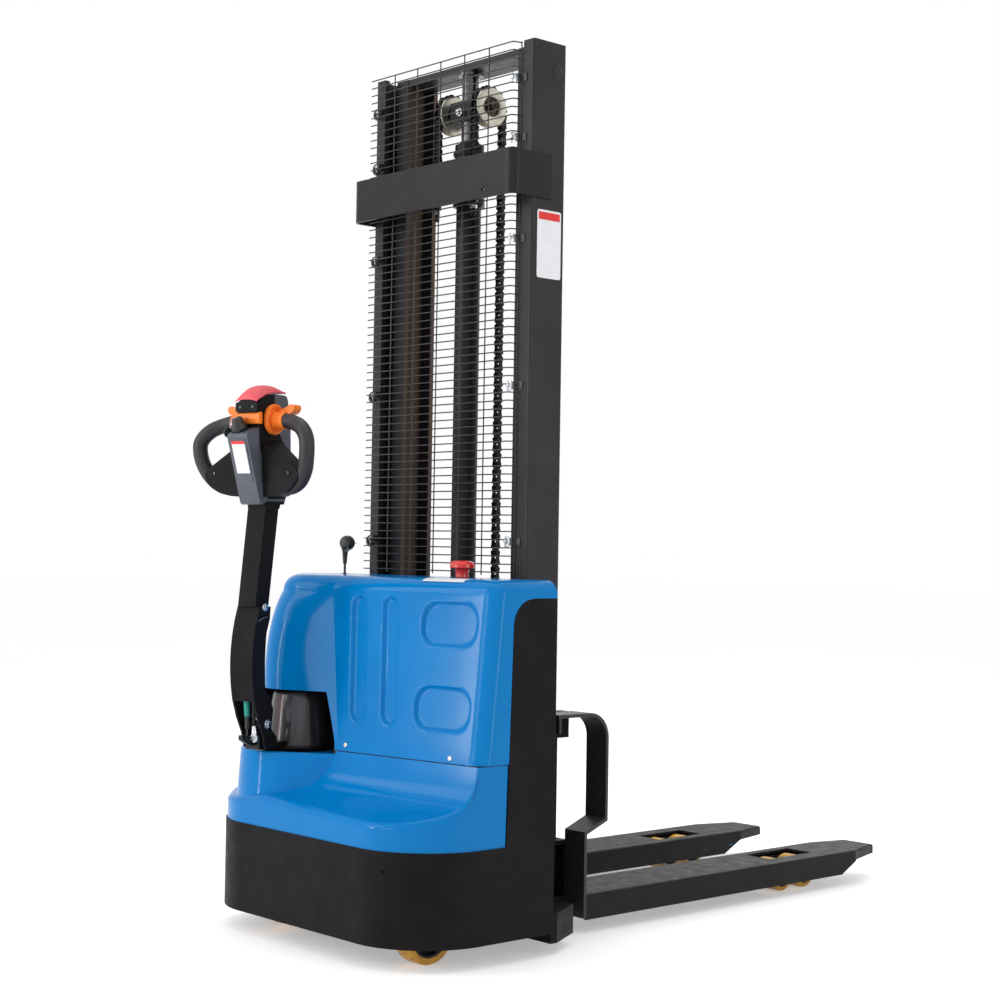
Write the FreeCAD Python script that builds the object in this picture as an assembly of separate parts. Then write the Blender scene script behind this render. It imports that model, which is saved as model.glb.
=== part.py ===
import FreeCAD, Part
import math
import os

from FreeCAD import Vector

# Pedestrian electric stacker, millimetres.
# X is across the machine, +X on the right of an operator who faces the forks.
# Y runs from the operator to the fork tips, Z is up and the floor is z = 0.
# Lengths along Y are first laid out from the rear edge of the side plates, and
# every finished piece is then moved by origin_shift_y, so that the origin is on
# the floor under the middle of the whole machine.

os.makedirs("parts", exist_ok=True)

# ---- driving dimensions ----
fork_tip_y = 1363.0
tiller_front_y = -480.0
origin_shift_y = -(fork_tip_y + tiller_front_y) / 2

# chassis
half_width = 400.0
skirt_front_y = -392.0
skirt_corner_r = 182.0
skirt_bottom_z = 47.0
skirt_top_z = 245.0
skirt_hole_r = 6.0
skirt_hole_z = 205.0
plate_t = 5.0
plate_low_y = -144.0
plate_high_y = -126.0
plate_top_z = 767.0
plate_corner_r = 58.0
deck_z = 228.0
deck_t = 8.0
deck_gap = 0.5
rear_wall_top_z = 760.0

# covers
cover_t = 4.0
seam_z = 417.0
seam_gap = 0.5
cover_top_z = 806.0
cover_corner_r = 38.0
cover_edge_r = 34.0
face_x = 377.0
face_y = -216.0
face_yaw = 0.138
face_lean = 0.097
nose_peak_x = -150.0
nose_crease_low_x = -16.0
nose_crease_top_x = -85.0
left_corner_y = -172.0
lower_inset = 3.0
rim_z = 298.0
recess_depth = 5.0

# steering and drive
steer_x = -200.0
steer_y = -240.0
parked_turn = 15.0
drive_wheel_r = 105.0
drive_wheel_w = 70.0
bulge_top_r = 136.0
bulge_bottom_r = 147.0
bulge_top_z = 410.0
bulge_opening_r = 124.0
nose_r = 85.0
nose_bottom_z = 545.0
motor_base_r = 77.0
motor_top_r = 64.0
motor_base_z = 412.0
motor_top_z = 540.0
column_r = 58.0

# on top of the cover
cover_gear_y = -60.0
stop_x = 153.0
plug_x = -280.0

# tiller: distances forward of the steering axis, and heights
tiller_pivot = (156.0, 473.0)
pivot_pin_r = 8.0
shell_half = 32.0
shell_t = 5.0
arm_half = 25.0
head_half = 31.0
grip_r = 17.0
grip_forward = 187.0
grip_root_z = 1150.0
lever_w = 46.0

# castor
castor_x = 284.0
castor_y = -240.0
castor_trail = 24.0
castor_r = 66.0
castor_w = 45.0

# mast
mast_half_w = 283.0
mast_front_y = 15.0
mast_rear_y = 116.0
mast_top_z = 2013.0
base_top_z = 88.0
channel_web = 10.0
channel_flange = 34.0
channel_flange_t = 14.0
channel_corner_r = 6.0
inner_out_x = 244.0
inner_in_x = 198.0
inner_front_y = 45.0
inner_rear_y = 140.0
inner_t = 12.0
inner_web = 10.0
inner_bottom_z = 100.0
inner_top_z = 2010.0
crosshead_t = 14.0
band_low_z = 1657.0
band_high_z = 1757.0
band_front_y = -50.0
band_rear_y = 70.0
band_r = 24.0
band_t = 6.0

# wire guard
guard_y = -9.0
guard_wire = 3.0
guard_left_x = -273.0
guard_right_x = 241.0
guard_low_z = 818.0
guard_pitch_z = 18.3
guard_pitch_x = 85.2
guard_clips_z = (888.0, 1237.0, 1567.0, 1794.0, 1929.0)

# lift cylinder and chains
cylinder_y = 75.0
barrel_r = 29.5
barrel_bore_r = 23.0
rod_r = 20.0
barrel_top_z = 1822.0
sheave_x = 65.0
sheave_z = 1903.0
sheave_r = 46.0
sheave_root_r = 35.0
sheave_w = 24.0
chain_groove = 17.0
chain_r = 43.0
chain_pitch = 15.875
chain_half_t = 7.0
anchor_z = 1698.0
fork_anchor_z = 330.0

# forks and support legs
fork_half_outer = 284.0
fork_w = 164.0
fork_top_z = 88.0
fork_bottom_z = 30.0
fork_heel_y = 216.0
fork_t = 6.0
fork_edge_r = 7.0
toe_low_z = 62.0
roller_x = 195.0
roller_ys = (984.0, 1073.0)
roller_r = 40.0
roller_w = 72.0
roller_gap = 5.0
leg_low_z = 32.0
leg_high_z = 74.0
strap_x = 219.0
strap_t = 8.0
strap_top_z = 500.0
strap_out_y = 282.0
strap_bend_r = 60.0
carriage_x = 160.0
carriage_t = 30.0


# ---- helpers ----
def box(x0, x1, y0, y1, z0, z1):
    return Part.makeBox(x1 - x0, y1 - y0, z1 - z0, Vector(x0, y0, z0))


def tube(radius, length, base, axis):
    return Part.makeCylinder(radius, length, Vector(*base), Vector(*axis))


def pipe(outer, inner, length, base, axis):
    return tube(outer, length, base, axis).cut(tube(inner, length, base, axis))


def along_x(x):
    return lambda y, z: Vector(x, y, z)


def along_y(y):
    return lambda x, z: Vector(x, y, z)


def along_z(z):
    return lambda x, y: Vector(x, y, z)


def outline(place, start, *steps):
    """A closed wire. A step is an end point, or a (middle, end) pair for an arc."""
    edges = []
    here = start
    for step in steps + (start,):
        if isinstance(step[0], tuple):
            middle, end = step
            edges.append(Part.Arc(place(*here), place(*middle), place(*end)).toShape())
        else:
            end = step
            if end != here:
                edges.append(Part.LineSegment(place(*here), place(*end)).toShape())
        here = end
    return Part.Wire(edges)


def swept(wire, direction):
    return Part.Face(wire).extrude(Vector(*direction))


def inset(wire, distance):
    return wire.makeOffset2D(-distance) if distance else wire


def fuse(shapes):
    first = shapes[0]
    if len(shapes) == 1:
        return first
    return first.fuse(shapes[1:]).removeSplitter()


def mirror_x(shape):
    return shape.mirror(Vector(0, 0, 0), Vector(1, 0, 0))


def upright_edges(shape, x, y, reach):
    """Edges that climb, whose middle lies near (x, y) in plan."""
    found = []
    for edge in shape.Edges:
        middle = edge.CenterOfMass
        rise = abs(edge.Vertexes[0].Z - edge.Vertexes[-1].Z)
        if rise > 20 and math.hypot(middle.x - x, middle.y - y) < reach:
            found.append(edge)
    return found


def edges_at_z(shape, z):
    return [e for e in shape.Edges
            if all(abs(v.Z - z) < 0.01 for v in e.Vertexes) and abs(e.CenterOfMass.z - z) < 0.01]


nodes = {}


def add(name, shape):
    moved = shape.copy()
    moved.translate(Vector(0, origin_shift_y, 0))
    nodes[name] = moved


def add_pair(name, shape):
    add(name + "_right", shape)
    add(name + "_left", mirror_x(shape))


# ---- chassis ----
def plan_wire(half, front, corner_r, z, rear):
    """A plan outline with two rounded corners on the operator's side."""
    mid = corner_r * (1 - math.sqrt(0.5))
    return outline(along_z(z), (half, rear), (half, front + corner_r),
                   ((half - mid, front + mid), (half - corner_r, front)),
                   (corner_r - half, front), ((mid - half, front + mid), (-half, front + corner_r)),
                   (-half, rear))


def plan_block(half, front, corner_r, z0, z1, rear=0.0):
    return swept(plan_wire(half, front, corner_r, z0, rear), (0, 0, z1 - z0))


def side_plate(x0, x1, grow=0.0):
    r = plate_corner_r
    mid = r * (1 - math.sqrt(0.5))
    top = plate_top_z + grow
    low_y = plate_low_y - grow
    high_y = plate_high_y - grow
    wire = outline(along_x(x0), (0.0, skirt_bottom_z), (low_y, skirt_bottom_z), (high_y, top - r),
                   ((high_y + mid, top - mid), (high_y + r, top)), (0.0, top))
    return swept(wire, (x1 - x0, 0, 0))


def base_shell():
    outer = plan_block(half_width, skirt_front_y, skirt_corner_r, skirt_bottom_z, skirt_top_z)
    inner = plan_block(half_width - plate_t, skirt_front_y + plate_t, skirt_corner_r - plate_t,
                       skirt_bottom_z, skirt_top_z)
    plate = side_plate(half_width - plate_t, half_width)
    shell = fuse([outer.cut(inner), plate, mirror_x(plate)])
    turn = math.radians(67)
    aim = (math.cos(turn), -math.sin(turn), 0)
    centre = (half_width - skirt_corner_r, skirt_front_y + skirt_corner_r, skirt_hole_z)
    return shell.cut(tube(skirt_hole_r, skirt_corner_r + 10, centre, aim))


def base_deck():
    edge = plate_t + deck_gap
    deck = plan_block(half_width - edge, skirt_front_y + edge, skirt_corner_r - edge,
                      deck_z, deck_z + deck_t, -12.0)
    deck = deck.cut(tube(70.0, 40, (steer_x, steer_y, deck_z - 10), (0, 0, 1)))
    rear = box(edge - half_width, half_width - edge, -12, -2, skirt_bottom_z, rear_wall_top_z)
    castor_plate = tube(46.0, 14, (castor_x, castor_y, deck_z - 14), (0, 0, 1))
    return fuse([deck, rear, castor_plate])


def face_line(x, z=seam_z):
    """How far forward the inclined front of the upper cover stands."""
    return face_y - face_yaw * (face_x - x) + face_lean * (z - seam_z)


def scoop(gap):
    """The hollow above the step of the lower cover, ruled parallel to the seam."""
    reach = 700.0
    left_x = -300.0
    seam_left = face_line(left_x)

    def place(forward, z):
        return Vector(left_x, seam_left - forward, z)

    run = (reach, reach * face_yaw, 0)
    back = -gap
    low = rim_z - gap
    wire = outline(place, (back, seam_z + 40), (back, low + 104),
                   ((back + 21, low + 49), (back + 70, low + 27)),
                   (160.0, low - 3), (330.0, low - 3), (330.0, seam_z + 40))
    return swept(wire, run)


def flank_plan(crease, radius, z):
    """Plan corners of a straight flank: crease, point of touch on the round, axis, and inside."""
    away = math.hypot(crease[0] - steer_x, crease[1] - steer_y)
    bearing = math.atan2(crease[1] - steer_y, crease[0] - steer_x)
    touch = bearing - math.acos(radius / away)
    corners = [crease, (steer_x + radius * math.cos(touch), steer_y + radius * math.sin(touch)),
               (steer_x, steer_y), (crease[0], -150.0)]
    return [Vector(x, y, z) for x, y in corners]


def polygon_face(*corners):
    return Part.Face(Part.makePolygon(list(corners) + [corners[0]]))


def flank(below, above):
    """The solid between two such plans."""
    faces = [polygon_face(*below), polygon_face(*above)]
    for i in range(4):
        j = (i + 1) % 4
        faces += [polygon_face(below[i], below[j], above[j]), polygon_face(below[i], above[j], above[i])]
    body = Part.Solid(Part.Shell(faces))
    if body.Volume < 0:
        body.reverse()
    return body


def motor_bulge(gap):
    """The tapered housing around the motor, with one straight flank back to the seam's crease."""
    low = skirt_top_z - gap
    high = bulge_top_z - gap
    crease = (nose_crease_low_x - gap, face_line(nose_crease_low_x) + gap)
    side = flank(flank_plan(crease, bulge_bottom_r - gap, low), flank_plan(crease, bulge_top_r - gap, high))
    cone = Part.makeCone(bulge_bottom_r - gap, bulge_top_r - gap, high - low,
                         Vector(steer_x, steer_y, low), Vector(0, 0, 1))
    return side.fuse(cone)


def lower_cover():
    half = half_width - lower_inset
    front = skirt_front_y + lower_inset

    def solid(gap):
        top = seam_z if not gap else seam_z + 20
        block = plan_block(half - gap, front + gap, skirt_corner_r - lower_inset - gap, skirt_top_z - gap,
                           top, -100.0 + gap * 5)
        block = block.cut(scoop(gap))
        corner = left_corner_y + gap
        left = swept(outline(along_x(-500), (-600.0, rim_z - gap), (-290.0, rim_z + 30 - gap),
                             (corner - 40, rim_z + 50 - gap), (corner, seam_z - 10),
                             (corner, 600.0), (-600.0, 600.0)), (201.0, 0, 0))
        block = block.cut(left)
        return fuse([block, motor_bulge(gap)])

    shell = solid(0).cut(solid(cover_t))
    opening = tube(bulge_opening_r, 300, (steer_x, steer_y, rim_z), (0, 0, 1))
    zone = side_plate(half_width - 10, half_width + 1, deck_gap)
    inside = box(-half + cover_t, half - cover_t, -130, 0, skirt_top_z - 1, seam_z + 1)
    shell = shell.cut(opening).cut(zone).cut(mirror_x(zone)).cut(inside)
    return biggest(shell)


def biggest(shape):
    return max(shape.Solids, key=lambda s: s.Volume)


def main_block(gap):
    """The body of the upper cover without its nose."""
    base_z = seam_z + seam_gap if not gap else seam_z - 20
    rise = cover_top_z - gap - base_z
    wire = outline(along_z(base_z), (half_width, 60.0), (half_width, face_line(half_width, base_z)),
                   (nose_peak_x, face_line(nose_peak_x, base_z)),
                   (-half_width, left_corner_y), (-half_width, 60.0))
    block = swept(inset(wire, gap), (0, face_lean * rise, rise))
    block = block.common(box(-500, 500, -500, -1 - gap, 0, 1000))
    mid_z = (cover_top_z + base_z) / 2
    corners = upright_edges(block, half_width, face_line(half_width, mid_z), 20)
    corners += upright_edges(block, -half_width, left_corner_y + face_lean * (mid_z - seam_z), 20)
    block = block.makeFillet(cover_corner_r - gap, corners)
    return block.makeFillet(cover_edge_r - gap, edges_at_z(block, cover_top_z - gap))


def nose(gap):
    low = seam_z + seam_gap if not gap else seam_z - 20
    top = cover_top_z - gap
    plans = []
    for z, crease_x in ((low, nose_crease_low_x), (top, nose_crease_top_x)):
        crease = (crease_x - gap, face_line(crease_x, z) + gap)
        plans.append(flank_plan(crease, nose_r - gap, z))
    body = flank(*plans).fuse(tube(nose_r - gap, top - low, (steer_x, steer_y, low), (0, 0, 1)))
    front = steer_y - nose_r - 0.5 + gap
    profile = outline(along_x(-500), (front, low - 1), (front, 570.0),
                      ((front + 17.0, 700.0), (front + 80.0, top)),
                      (0.0, top), (0.0, low - 1))
    return body.common(swept(profile, (700, 0, 0)))


def on_face(x, z):
    return Vector(x, face_line(x, z), z)


def pressing(wire_points, depth):
    """A recess pressed into the inclined face, from corner points that are rounded."""
    inward = Vector(-face_yaw, 1.0, -face_lean)
    inward.normalize()
    corners = [on_face(x, z) - inward * 6 for x, z in wire_points]
    wire = Part.makePolygon(corners + [corners[0]])
    return Part.Face(wire).extrude(inward * (6 + depth))


def recesses(grow, depth):
    shapes = []
    for foot_x in (33.0, 127.0):
        half = 23.0 + grow
        body = pressing([(foot_x - half + 4, 490 - grow), (foot_x - half + 12, 478 - grow),
                         (foot_x + half - 12, 478 - grow), (foot_x + half - 4, 490 - grow),
                         (foot_x + half - 32, 750 + grow), (foot_x + half - 40, 766 + grow),
                         (foot_x - half - 12, 766 + grow), (foot_x - half - 24, 750 + grow)], depth)
        shapes.append(body)
    for low, high in ((484.0, 575.0), (663.0, 755.0)):
        cut = 26.0
        x0 = 199.0 - grow
        x1 = 353.0 + grow
        shapes.append(pressing([(x0 + cut, low - grow), (x1 - cut, low - grow), (x1, low + cut),
                                (x1, high - cut),
                                (x1 - cut, high + grow), (x0 + cut, high + grow), (x0, high - cut),
                                (x0, low + cut)], depth))
    return shapes


def upper_cover():
    outer = main_block(0).cut(Part.makeCompound(recesses(0, recess_depth))).fuse(nose(0))
    inner = main_block(cover_t).cut(Part.makeCompound(recesses(cover_t, recess_depth + cover_t)))
    inner = inner.fuse([nose(cover_t), box(cover_t - half_width, half_width - cover_t, -12, 10, 300,
                                           rear_wall_top_z + 2)])
    shell = outer.cut(inner)
    window = swept(outline(along_y(-600), (-330.0, seam_z - 30), (-23.0, seam_z - 30), (-23.0, seam_z),
                           (-62.0, nose_bottom_z - 4), (-66.0, nose_bottom_z), (-330.0, nose_bottom_z)),
                   (0, 445, 0))
    zone = side_plate(half_width - 10, half_width + 1, deck_gap)
    shell = shell.cut(window).cut(zone).cut(mirror_x(zone))
    return biggest(shell)


add("base_shell", base_shell())
add("base_deck", base_deck())
add("lower_cover", lower_cover())
add("upper_cover", upper_cover())
add("battery", box(30, 350, -175, -20, deck_z + deck_t, 560))
add("hydraulic_unit", box(-50, 20, -175, -20, deck_z + deck_t, 520))


# ---- fixed mast ----
def channel(web_out, tip, front, rear, web, flange, corner, z0, z1):
    """A C-shaped upright that opens toward the middle, with rounded back corners."""
    mid = corner * (1 - math.sqrt(0.5))
    wire = outline(along_z(z0), (tip, front), (web_out - corner, front),
                   ((web_out - mid, front + mid), (web_out, front + corner)), (web_out, rear - corner),
                   ((web_out - mid, rear - mid), (web_out - corner, rear)), (tip, rear),
                   (tip, rear - flange), (web_out - web, rear - flange), (web_out - web, front + flange),
                   (tip, front + flange))
    return swept(wire, (0, 0, z1 - z0))


def band():
    outer = plan_block(mast_half_w + band_t, band_front_y, band_r, band_low_z, band_high_z, band_rear_y)
    inner = plan_block(mast_half_w, band_front_y + band_t, band_r - band_t, band_low_z, band_high_z,
                       band_rear_y)
    return outer.cut(inner).cut(tube(4.0, 40, (190, band_front_y - 10, band_low_z + 19), (0, 1, 0)))


def mast_base():
    outer = half_width - plate_t - deck_gap
    wire = outline(along_z(24.0), (outer, -2.0), (outer, 18.0), (342.0, 118.0), (-342.0, 118.0),
                   (-outer, 18.0), (-outer, -2.0))
    block = swept(wire, (0, 0, base_top_z - 24.0))
    wheel_bay = box(-half_width, half_width, -20, -1, 0, skirt_bottom_z)
    return block.cut(wheel_bay)


def barrel():
    body = pipe(barrel_r, barrel_bore_r, barrel_top_z - base_top_z, (0, cylinder_y, base_top_z), (0, 0, 1))
    gland = pipe(barrel_r + 5, barrel_bore_r - 1.5, 34, (0, cylinder_y, barrel_top_z - 34), (0, 0, 1))
    ring = pipe(barrel_r + 9, barrel_bore_r - 1.5, 8, (0, cylinder_y, barrel_top_z - 26), (0, 0, 1))
    return fuse([body, gland, ring])


def wire_guard():
    back = mast_front_y
    front = guard_y
    rear = guard_y + guard_wire
    leg = guard_right_x - guard_wire
    wires = []
    rows = int((mast_top_z - guard_low_z) / guard_pitch_z) + 1
    for row in range(rows):
        z = guard_low_z + row * guard_pitch_z
        wire = outline(along_z(z), (guard_left_x, front), (guard_right_x, front), (guard_right_x, back),
                       (leg, back), (leg, rear), (guard_left_x, rear))
        wires.append(swept(wire, (0, 0, guard_wire)))
    for index in range(1, 7):
        x = guard_left_x + guard_pitch_x * index
        y = guard_y + 2 if index < 6 else back - guard_wire
        wires.append(box(x, x + guard_wire, y, y + guard_wire,
                         guard_low_z - 6, guard_low_z + (rows - 1) * guard_pitch_z + guard_wire))
    for z in guard_clips_z:
        wires.append(box(-262, -251, rear - 1, back, z - 10, z + 10))
        wires.append(box(leg - 1, 262, back - 6, back, z - 10, z + 10))
    return fuse(wires)


add_pair("outer_channel", channel(mast_half_w, mast_half_w - channel_flange, mast_front_y, mast_rear_y,
                                  channel_web, channel_flange_t, channel_corner_r, base_top_z, mast_top_z))
add("mast_band", band())
add("mast_base", mast_base())
add("barrel", barrel())
add("wire_guard", wire_guard())


# ---- inner mast ----
def crosshead():
    low = inner_top_z - crosshead_t
    return fuse([box(-inner_in_x, inner_in_x, inner_front_y + 2, inner_rear_y - 2, low, inner_top_z),
                 box(inner_web - inner_out_x, inner_out_x - inner_web, inner_front_y + inner_t,
                     inner_rear_y - inner_t, low, inner_top_z)])


def foot_plate():
    plate = box(-228, 228, inner_front_y - 15, inner_front_y - 5, inner_bottom_z, inner_bottom_z + 80)
    lug = box(202, 228, inner_front_y - 5, inner_front_y, inner_bottom_z, inner_bottom_z + 80)
    return fuse([plate, lug, mirror_x(lug)])


def lift_rod():
    top = inner_top_z - crosshead_t
    return fuse([tube(rod_r, top - 300, (0, cylinder_y, 300), (0, 0, 1)),
                 tube(31.0, 10, (0, cylinder_y, top - 10), (0, 0, 1))])


def yoke():
    reach = sheave_x + sheave_w / 2 + 9
    block = box(-44, 44, cylinder_y - 26, cylinder_y + 26, sheave_z - 26, sheave_z + 22)
    axle = tube(9.0, 2 * reach, (-reach, cylinder_y, sheave_z), (1, 0, 0))
    bolt = tube(7.0, 8, (0, cylinder_y - 34, sheave_z - 6), (0, 1, 0))
    return fuse([block, axle, bolt]).cut(tube(rod_r, 300, (0, cylinder_y, sheave_z - 100), (0, 0, 1)))


def sheave(x):
    low = x - sheave_w / 2
    disc = pipe(sheave_r, 9.0, sheave_w, (low, cylinder_y, sheave_z), (1, 0, 0))
    groove = pipe(sheave_r + 5, sheave_root_r, chain_groove,
                  (x - chain_groove / 2, cylinder_y, sheave_z), (1, 0, 0))
    return disc.cut(groove)


def chain_run(x, y, z0, z1):
    """A straight run: wide and narrow links in turn, as one stepped bar."""
    count = max(2, round((z1 - z0) / chain_pitch))
    step = (z1 - z0) / count
    right = []
    for index in range(count):
        half = 8.0 if index % 2 else 5.5
        right += [(x + half, z0 + index * step), (x + half, z0 + (index + 1) * step)]
    left = [(2 * x - px, z) for px, z in reversed(right)]
    corners = right + left
    return swept(outline(along_y(y - chain_half_t), *corners), (0, 2 * chain_half_t, 0))


def chain_bend(x):
    """The half turn of the chain over its sheave."""
    ring = pipe(chain_r + chain_half_t, sheave_root_r + 1, 15, (x - 7.5, cylinder_y, sheave_z), (1, 0, 0))
    return ring.common(box(x - 20, x + 20, 0, 200, sheave_z, sheave_z + 100))


def chain_anchor():
    bar = box(-82, 82, cylinder_y - chain_r - 10, cylinder_y - chain_r + 12, anchor_z - 14, anchor_z)
    clamp = tube(barrel_r + 8, 30, (0, cylinder_y, anchor_z - 22), (0, 0, 1))
    pieces = [bar, clamp]
    for side in (-1, 1):
        pieces.append(tube(6.0, 40, (side * sheave_x, cylinder_y - chain_r, anchor_z - 54), (0, 0, 1)))
        pieces.append(tube(10.0, 10, (side * sheave_x, cylinder_y - chain_r, anchor_z - 26), (0, 0, 1)))
    return fuse(pieces).cut(tube(barrel_r, 400, (0, cylinder_y, anchor_z - 200), (0, 0, 1)))


add_pair("inner_channel", channel(inner_out_x, inner_in_x, inner_front_y, inner_rear_y, inner_web, inner_t,
                                  channel_corner_r, inner_bottom_z, inner_top_z))
add("inner_crosshead", crosshead())
add("inner_foot_plate", foot_plate())
add("lift_rod", lift_rod())
add("chain_yoke", yoke())
add("sheave_right", sheave(sheave_x))
add("sheave_left", sheave(-sheave_x))
fork_side = cylinder_y + chain_r
fixed_side = cylinder_y - chain_r
add("fork_chains", Part.makeCompound([fuse([chain_run(s * sheave_x, fork_side, fork_anchor_z, sheave_z),
                                            chain_bend(s * sheave_x)]) for s in (-1, 1)]))
add("anchor_chains", Part.makeCompound([chain_run(s * sheave_x, fixed_side, anchor_z, sheave_z - 1)
                                        for s in (-1, 1)]))
add("chain_anchor", chain_anchor())


# ---- support legs and load rollers ----
def support_leg():
    beam = box(150, 212, 118, 900, leg_low_z, leg_high_z)
    frame = box(roller_x - 48, roller_x + 48, 880, 1130, leg_low_z, leg_high_z)
    bay = roller_w / 2 + roller_gap
    frame = frame.cut(box(roller_x - bay, roller_x + bay, 930, 1140, 0, 100))
    pieces = [beam, frame]
    for y in roller_ys:
        pieces.append(tube(8.0, 96, (roller_x - 48, y, roller_r), (1, 0, 0)))
    return fuse(pieces)


add_pair("support_leg", support_leg())
for side, label in ((1, "right"), (-1, "left")):
    for place, y in zip(("inner", "outer"), roller_ys):
        add("load_roller_%s_%s" % (label, place),
            pipe(roller_r, 8.0, roller_w, (side * roller_x - roller_w / 2, y, roller_r), (1, 0, 0)))


# ---- carriage and forks ----
def fork():
    x0 = fork_half_outer - fork_w
    x1 = fork_half_outer
    tip = fork_tip_y
    low = fork_bottom_z
    top = fork_top_z
    plan = outline(along_z(low), (x0, fork_heel_y), (x1, fork_heel_y), (x1, tip - 143), (x1 - 42, tip - 16),
                   ((x1 - 46.7, tip - 4.7), (x1 - 58, tip)), (x0 + 48, tip),
                   ((x0 + 36, tip - 5), (x0 + 31, tip - 17)), (x0, tip - 133))
    body = swept(plan, (0, 0, top - low))
    edges = edges_at_z(body, top)
    body = body.makeFillet(fork_edge_r, [e for e in edges if e.CenterOfMass.y > fork_heel_y + 1])
    toe_r = top - toe_low_z
    mid = toe_r * (1 - math.sqrt(0.5))
    side = outline(along_x(x0 - 1), (fork_heel_y, low), (tip - 200, low), (tip - 134, toe_low_z + 1),
                   (tip, toe_low_z), ((tip - mid, top - mid), (tip - toe_r, top)), (fork_heel_y, top))
    inside = box(x0 + fork_t, x1 - fork_t, fork_heel_y - 1, tip - 207, low - 1, top - fork_t)
    opening = box(152, 232, 928, 1097, 0, 200)
    return body.common(swept(side, (fork_w + 2, 0, 0))).cut(inside).cut(opening)


def strap():
    top = strap_top_z
    out = strap_out_y
    heel = fork_heel_y
    r = strap_bend_r
    t = strap_t
    outer_mid = r * (1 - math.sqrt(0.5))
    inner_mid = (r - t) * (1 - math.sqrt(0.5))
    wire = outline(along_x(strap_x), (121.0, top), (out - r, top),
                   ((out - outer_mid, top - outer_mid), (out, top - r)), (out, 250.0), (heel, 224.0),
                   (heel, 34.0), (heel - t, 34.0), (heel - t, 230.0), (out - t, 256.0), (out - t, top - r),
                   ((out - t - inner_mid, top - t - inner_mid), (out - r, top - t)), (121.0, top - t))
    body = swept(wire, (fork_half_outer - strap_x, 0, 0))
    tab = box(fork_half_outer - 30, fork_half_outer, 123, 129, top - 42, top)
    clear = box(strap_x - 1, inner_out_x + 6, 100, inner_rear_y + 6, 300, 600)
    return fuse([body, tab]).cut(clear)


def carriage():
    heel = fork_heel_y
    side = box(carriage_x, carriage_x + carriage_t, 62, heel - strap_t, 100, 480)
    arm = box(carriage_x + carriage_t, strap_x, inner_rear_y + 6, heel, 462, strap_top_z)
    plate = box(carriage_x, strap_x, inner_rear_y + 20, heel, 440, 480)
    low = box(-strap_x, strap_x, heel - strap_t, heel, fork_bottom_z + 4, 205)
    ledge = box(-strap_x, strap_x, heel - 46, heel - strap_t, 195, 205)
    high = box(-carriage_x, carriage_x, heel - 18, heel - strap_t, 380, 480)
    pieces = [side, arm, plate, low, ledge, high, mirror_x(side), mirror_x(arm), mirror_x(plate)]
    for z in (142, 440):
        middle_y = (inner_front_y + inner_rear_y) / 2
        roller = tube(31.0, 34, (carriage_x + carriage_t - 1, middle_y, z), (1, 0, 0))
        pieces += [roller, mirror_x(roller)]
    for s in (-1, 1):
        pieces.append(box(s * sheave_x - 12, s * sheave_x + 12, fork_side - 9, heel - strap_t,
                          fork_anchor_z - 14, fork_anchor_z))
    cross = box(-carriage_x, carriage_x, heel - 18, heel - strap_t, fork_anchor_z - 30, fork_anchor_z)
    body = fuse(pieces + [cross])
    bay = box(144, strap_x + 1, heel - 20, heel + 1, 0, 80)
    return body.cut(bay).cut(mirror_x(bay))


add_pair("fork", fork())
add_pair("fork_strap", strap())
add("carriage", carriage())


# ---- steering, drive wheel and tiller ----
# These are laid out straight ahead and then turned to where the tiller is parked.
def parked(shape):
    turned = shape.copy()
    turned.rotate(Vector(steer_x, steer_y, 0), Vector(0, 0, 1), parked_turn)
    return turned


def beside(s):
    """Places a (forward, height) point of the tiller's own plane at a sideways offset."""
    return lambda forward, z: Vector(steer_x + s, steer_y - forward, z)


def ahead(forward):
    return lambda s, z: Vector(steer_x + s, steer_y - forward, z)


def tiller_prism(half, start, *steps):
    return swept(outline(beside(-half), start, *steps), (2 * half, 0, 0))


def cross_pin(radius, half, forward, z):
    return tube(radius, 2 * half, (steer_x - half, steer_y - forward, z), (1, 0, 0))


def drive_unit():
    forward, height = tiller_pivot
    turntable = tube(66.0, 20, (steer_x, steer_y, deck_z - 8), (0, 0, 1))
    gearbox = box(steer_x - 68, steer_x - 42, steer_y - 48, steer_y + 48, 66, deck_z - 6)
    crown = box(steer_x - 68, steer_x + 40, steer_y - 44, steer_y + 44, 214, deck_z - 6)
    shaft = tube(14.0, 80, (steer_x - 44, steer_y, drive_wheel_r), (1, 0, 0))
    column = tube(column_r, motor_base_z + 8 - deck_z, (steer_x, steer_y, deck_z), (0, 0, 1))
    tongue = box(steer_x - 20, steer_x + 20, steer_y - forward - 14, steer_y, 416, 428)
    ear = tiller_prism(20.0, (forward - 46, 418), (forward + 14, 418), (forward + 14, height),
                       ((forward, height + 14), (forward - 14, height)), (forward - 46, 440))
    gap = tiller_prism(13.0, (60.0, 428), (forward + 30, 428), (forward + 30, height + 30),
                       (60.0, height + 30))
    eye = tiller_prism(6.0, (forward, 420), (forward + 40, 432), (forward + 54, 440), (forward + 54, 450),
                       (forward + 40, 450), (forward + 10, 436), (forward, 436))
    pin = cross_pin(pivot_pin_r, shell_half + 3, forward, height)
    return fuse([turntable, gearbox, crown, shaft, column, tongue, ear.cut(gap), eye, pin])


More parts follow.
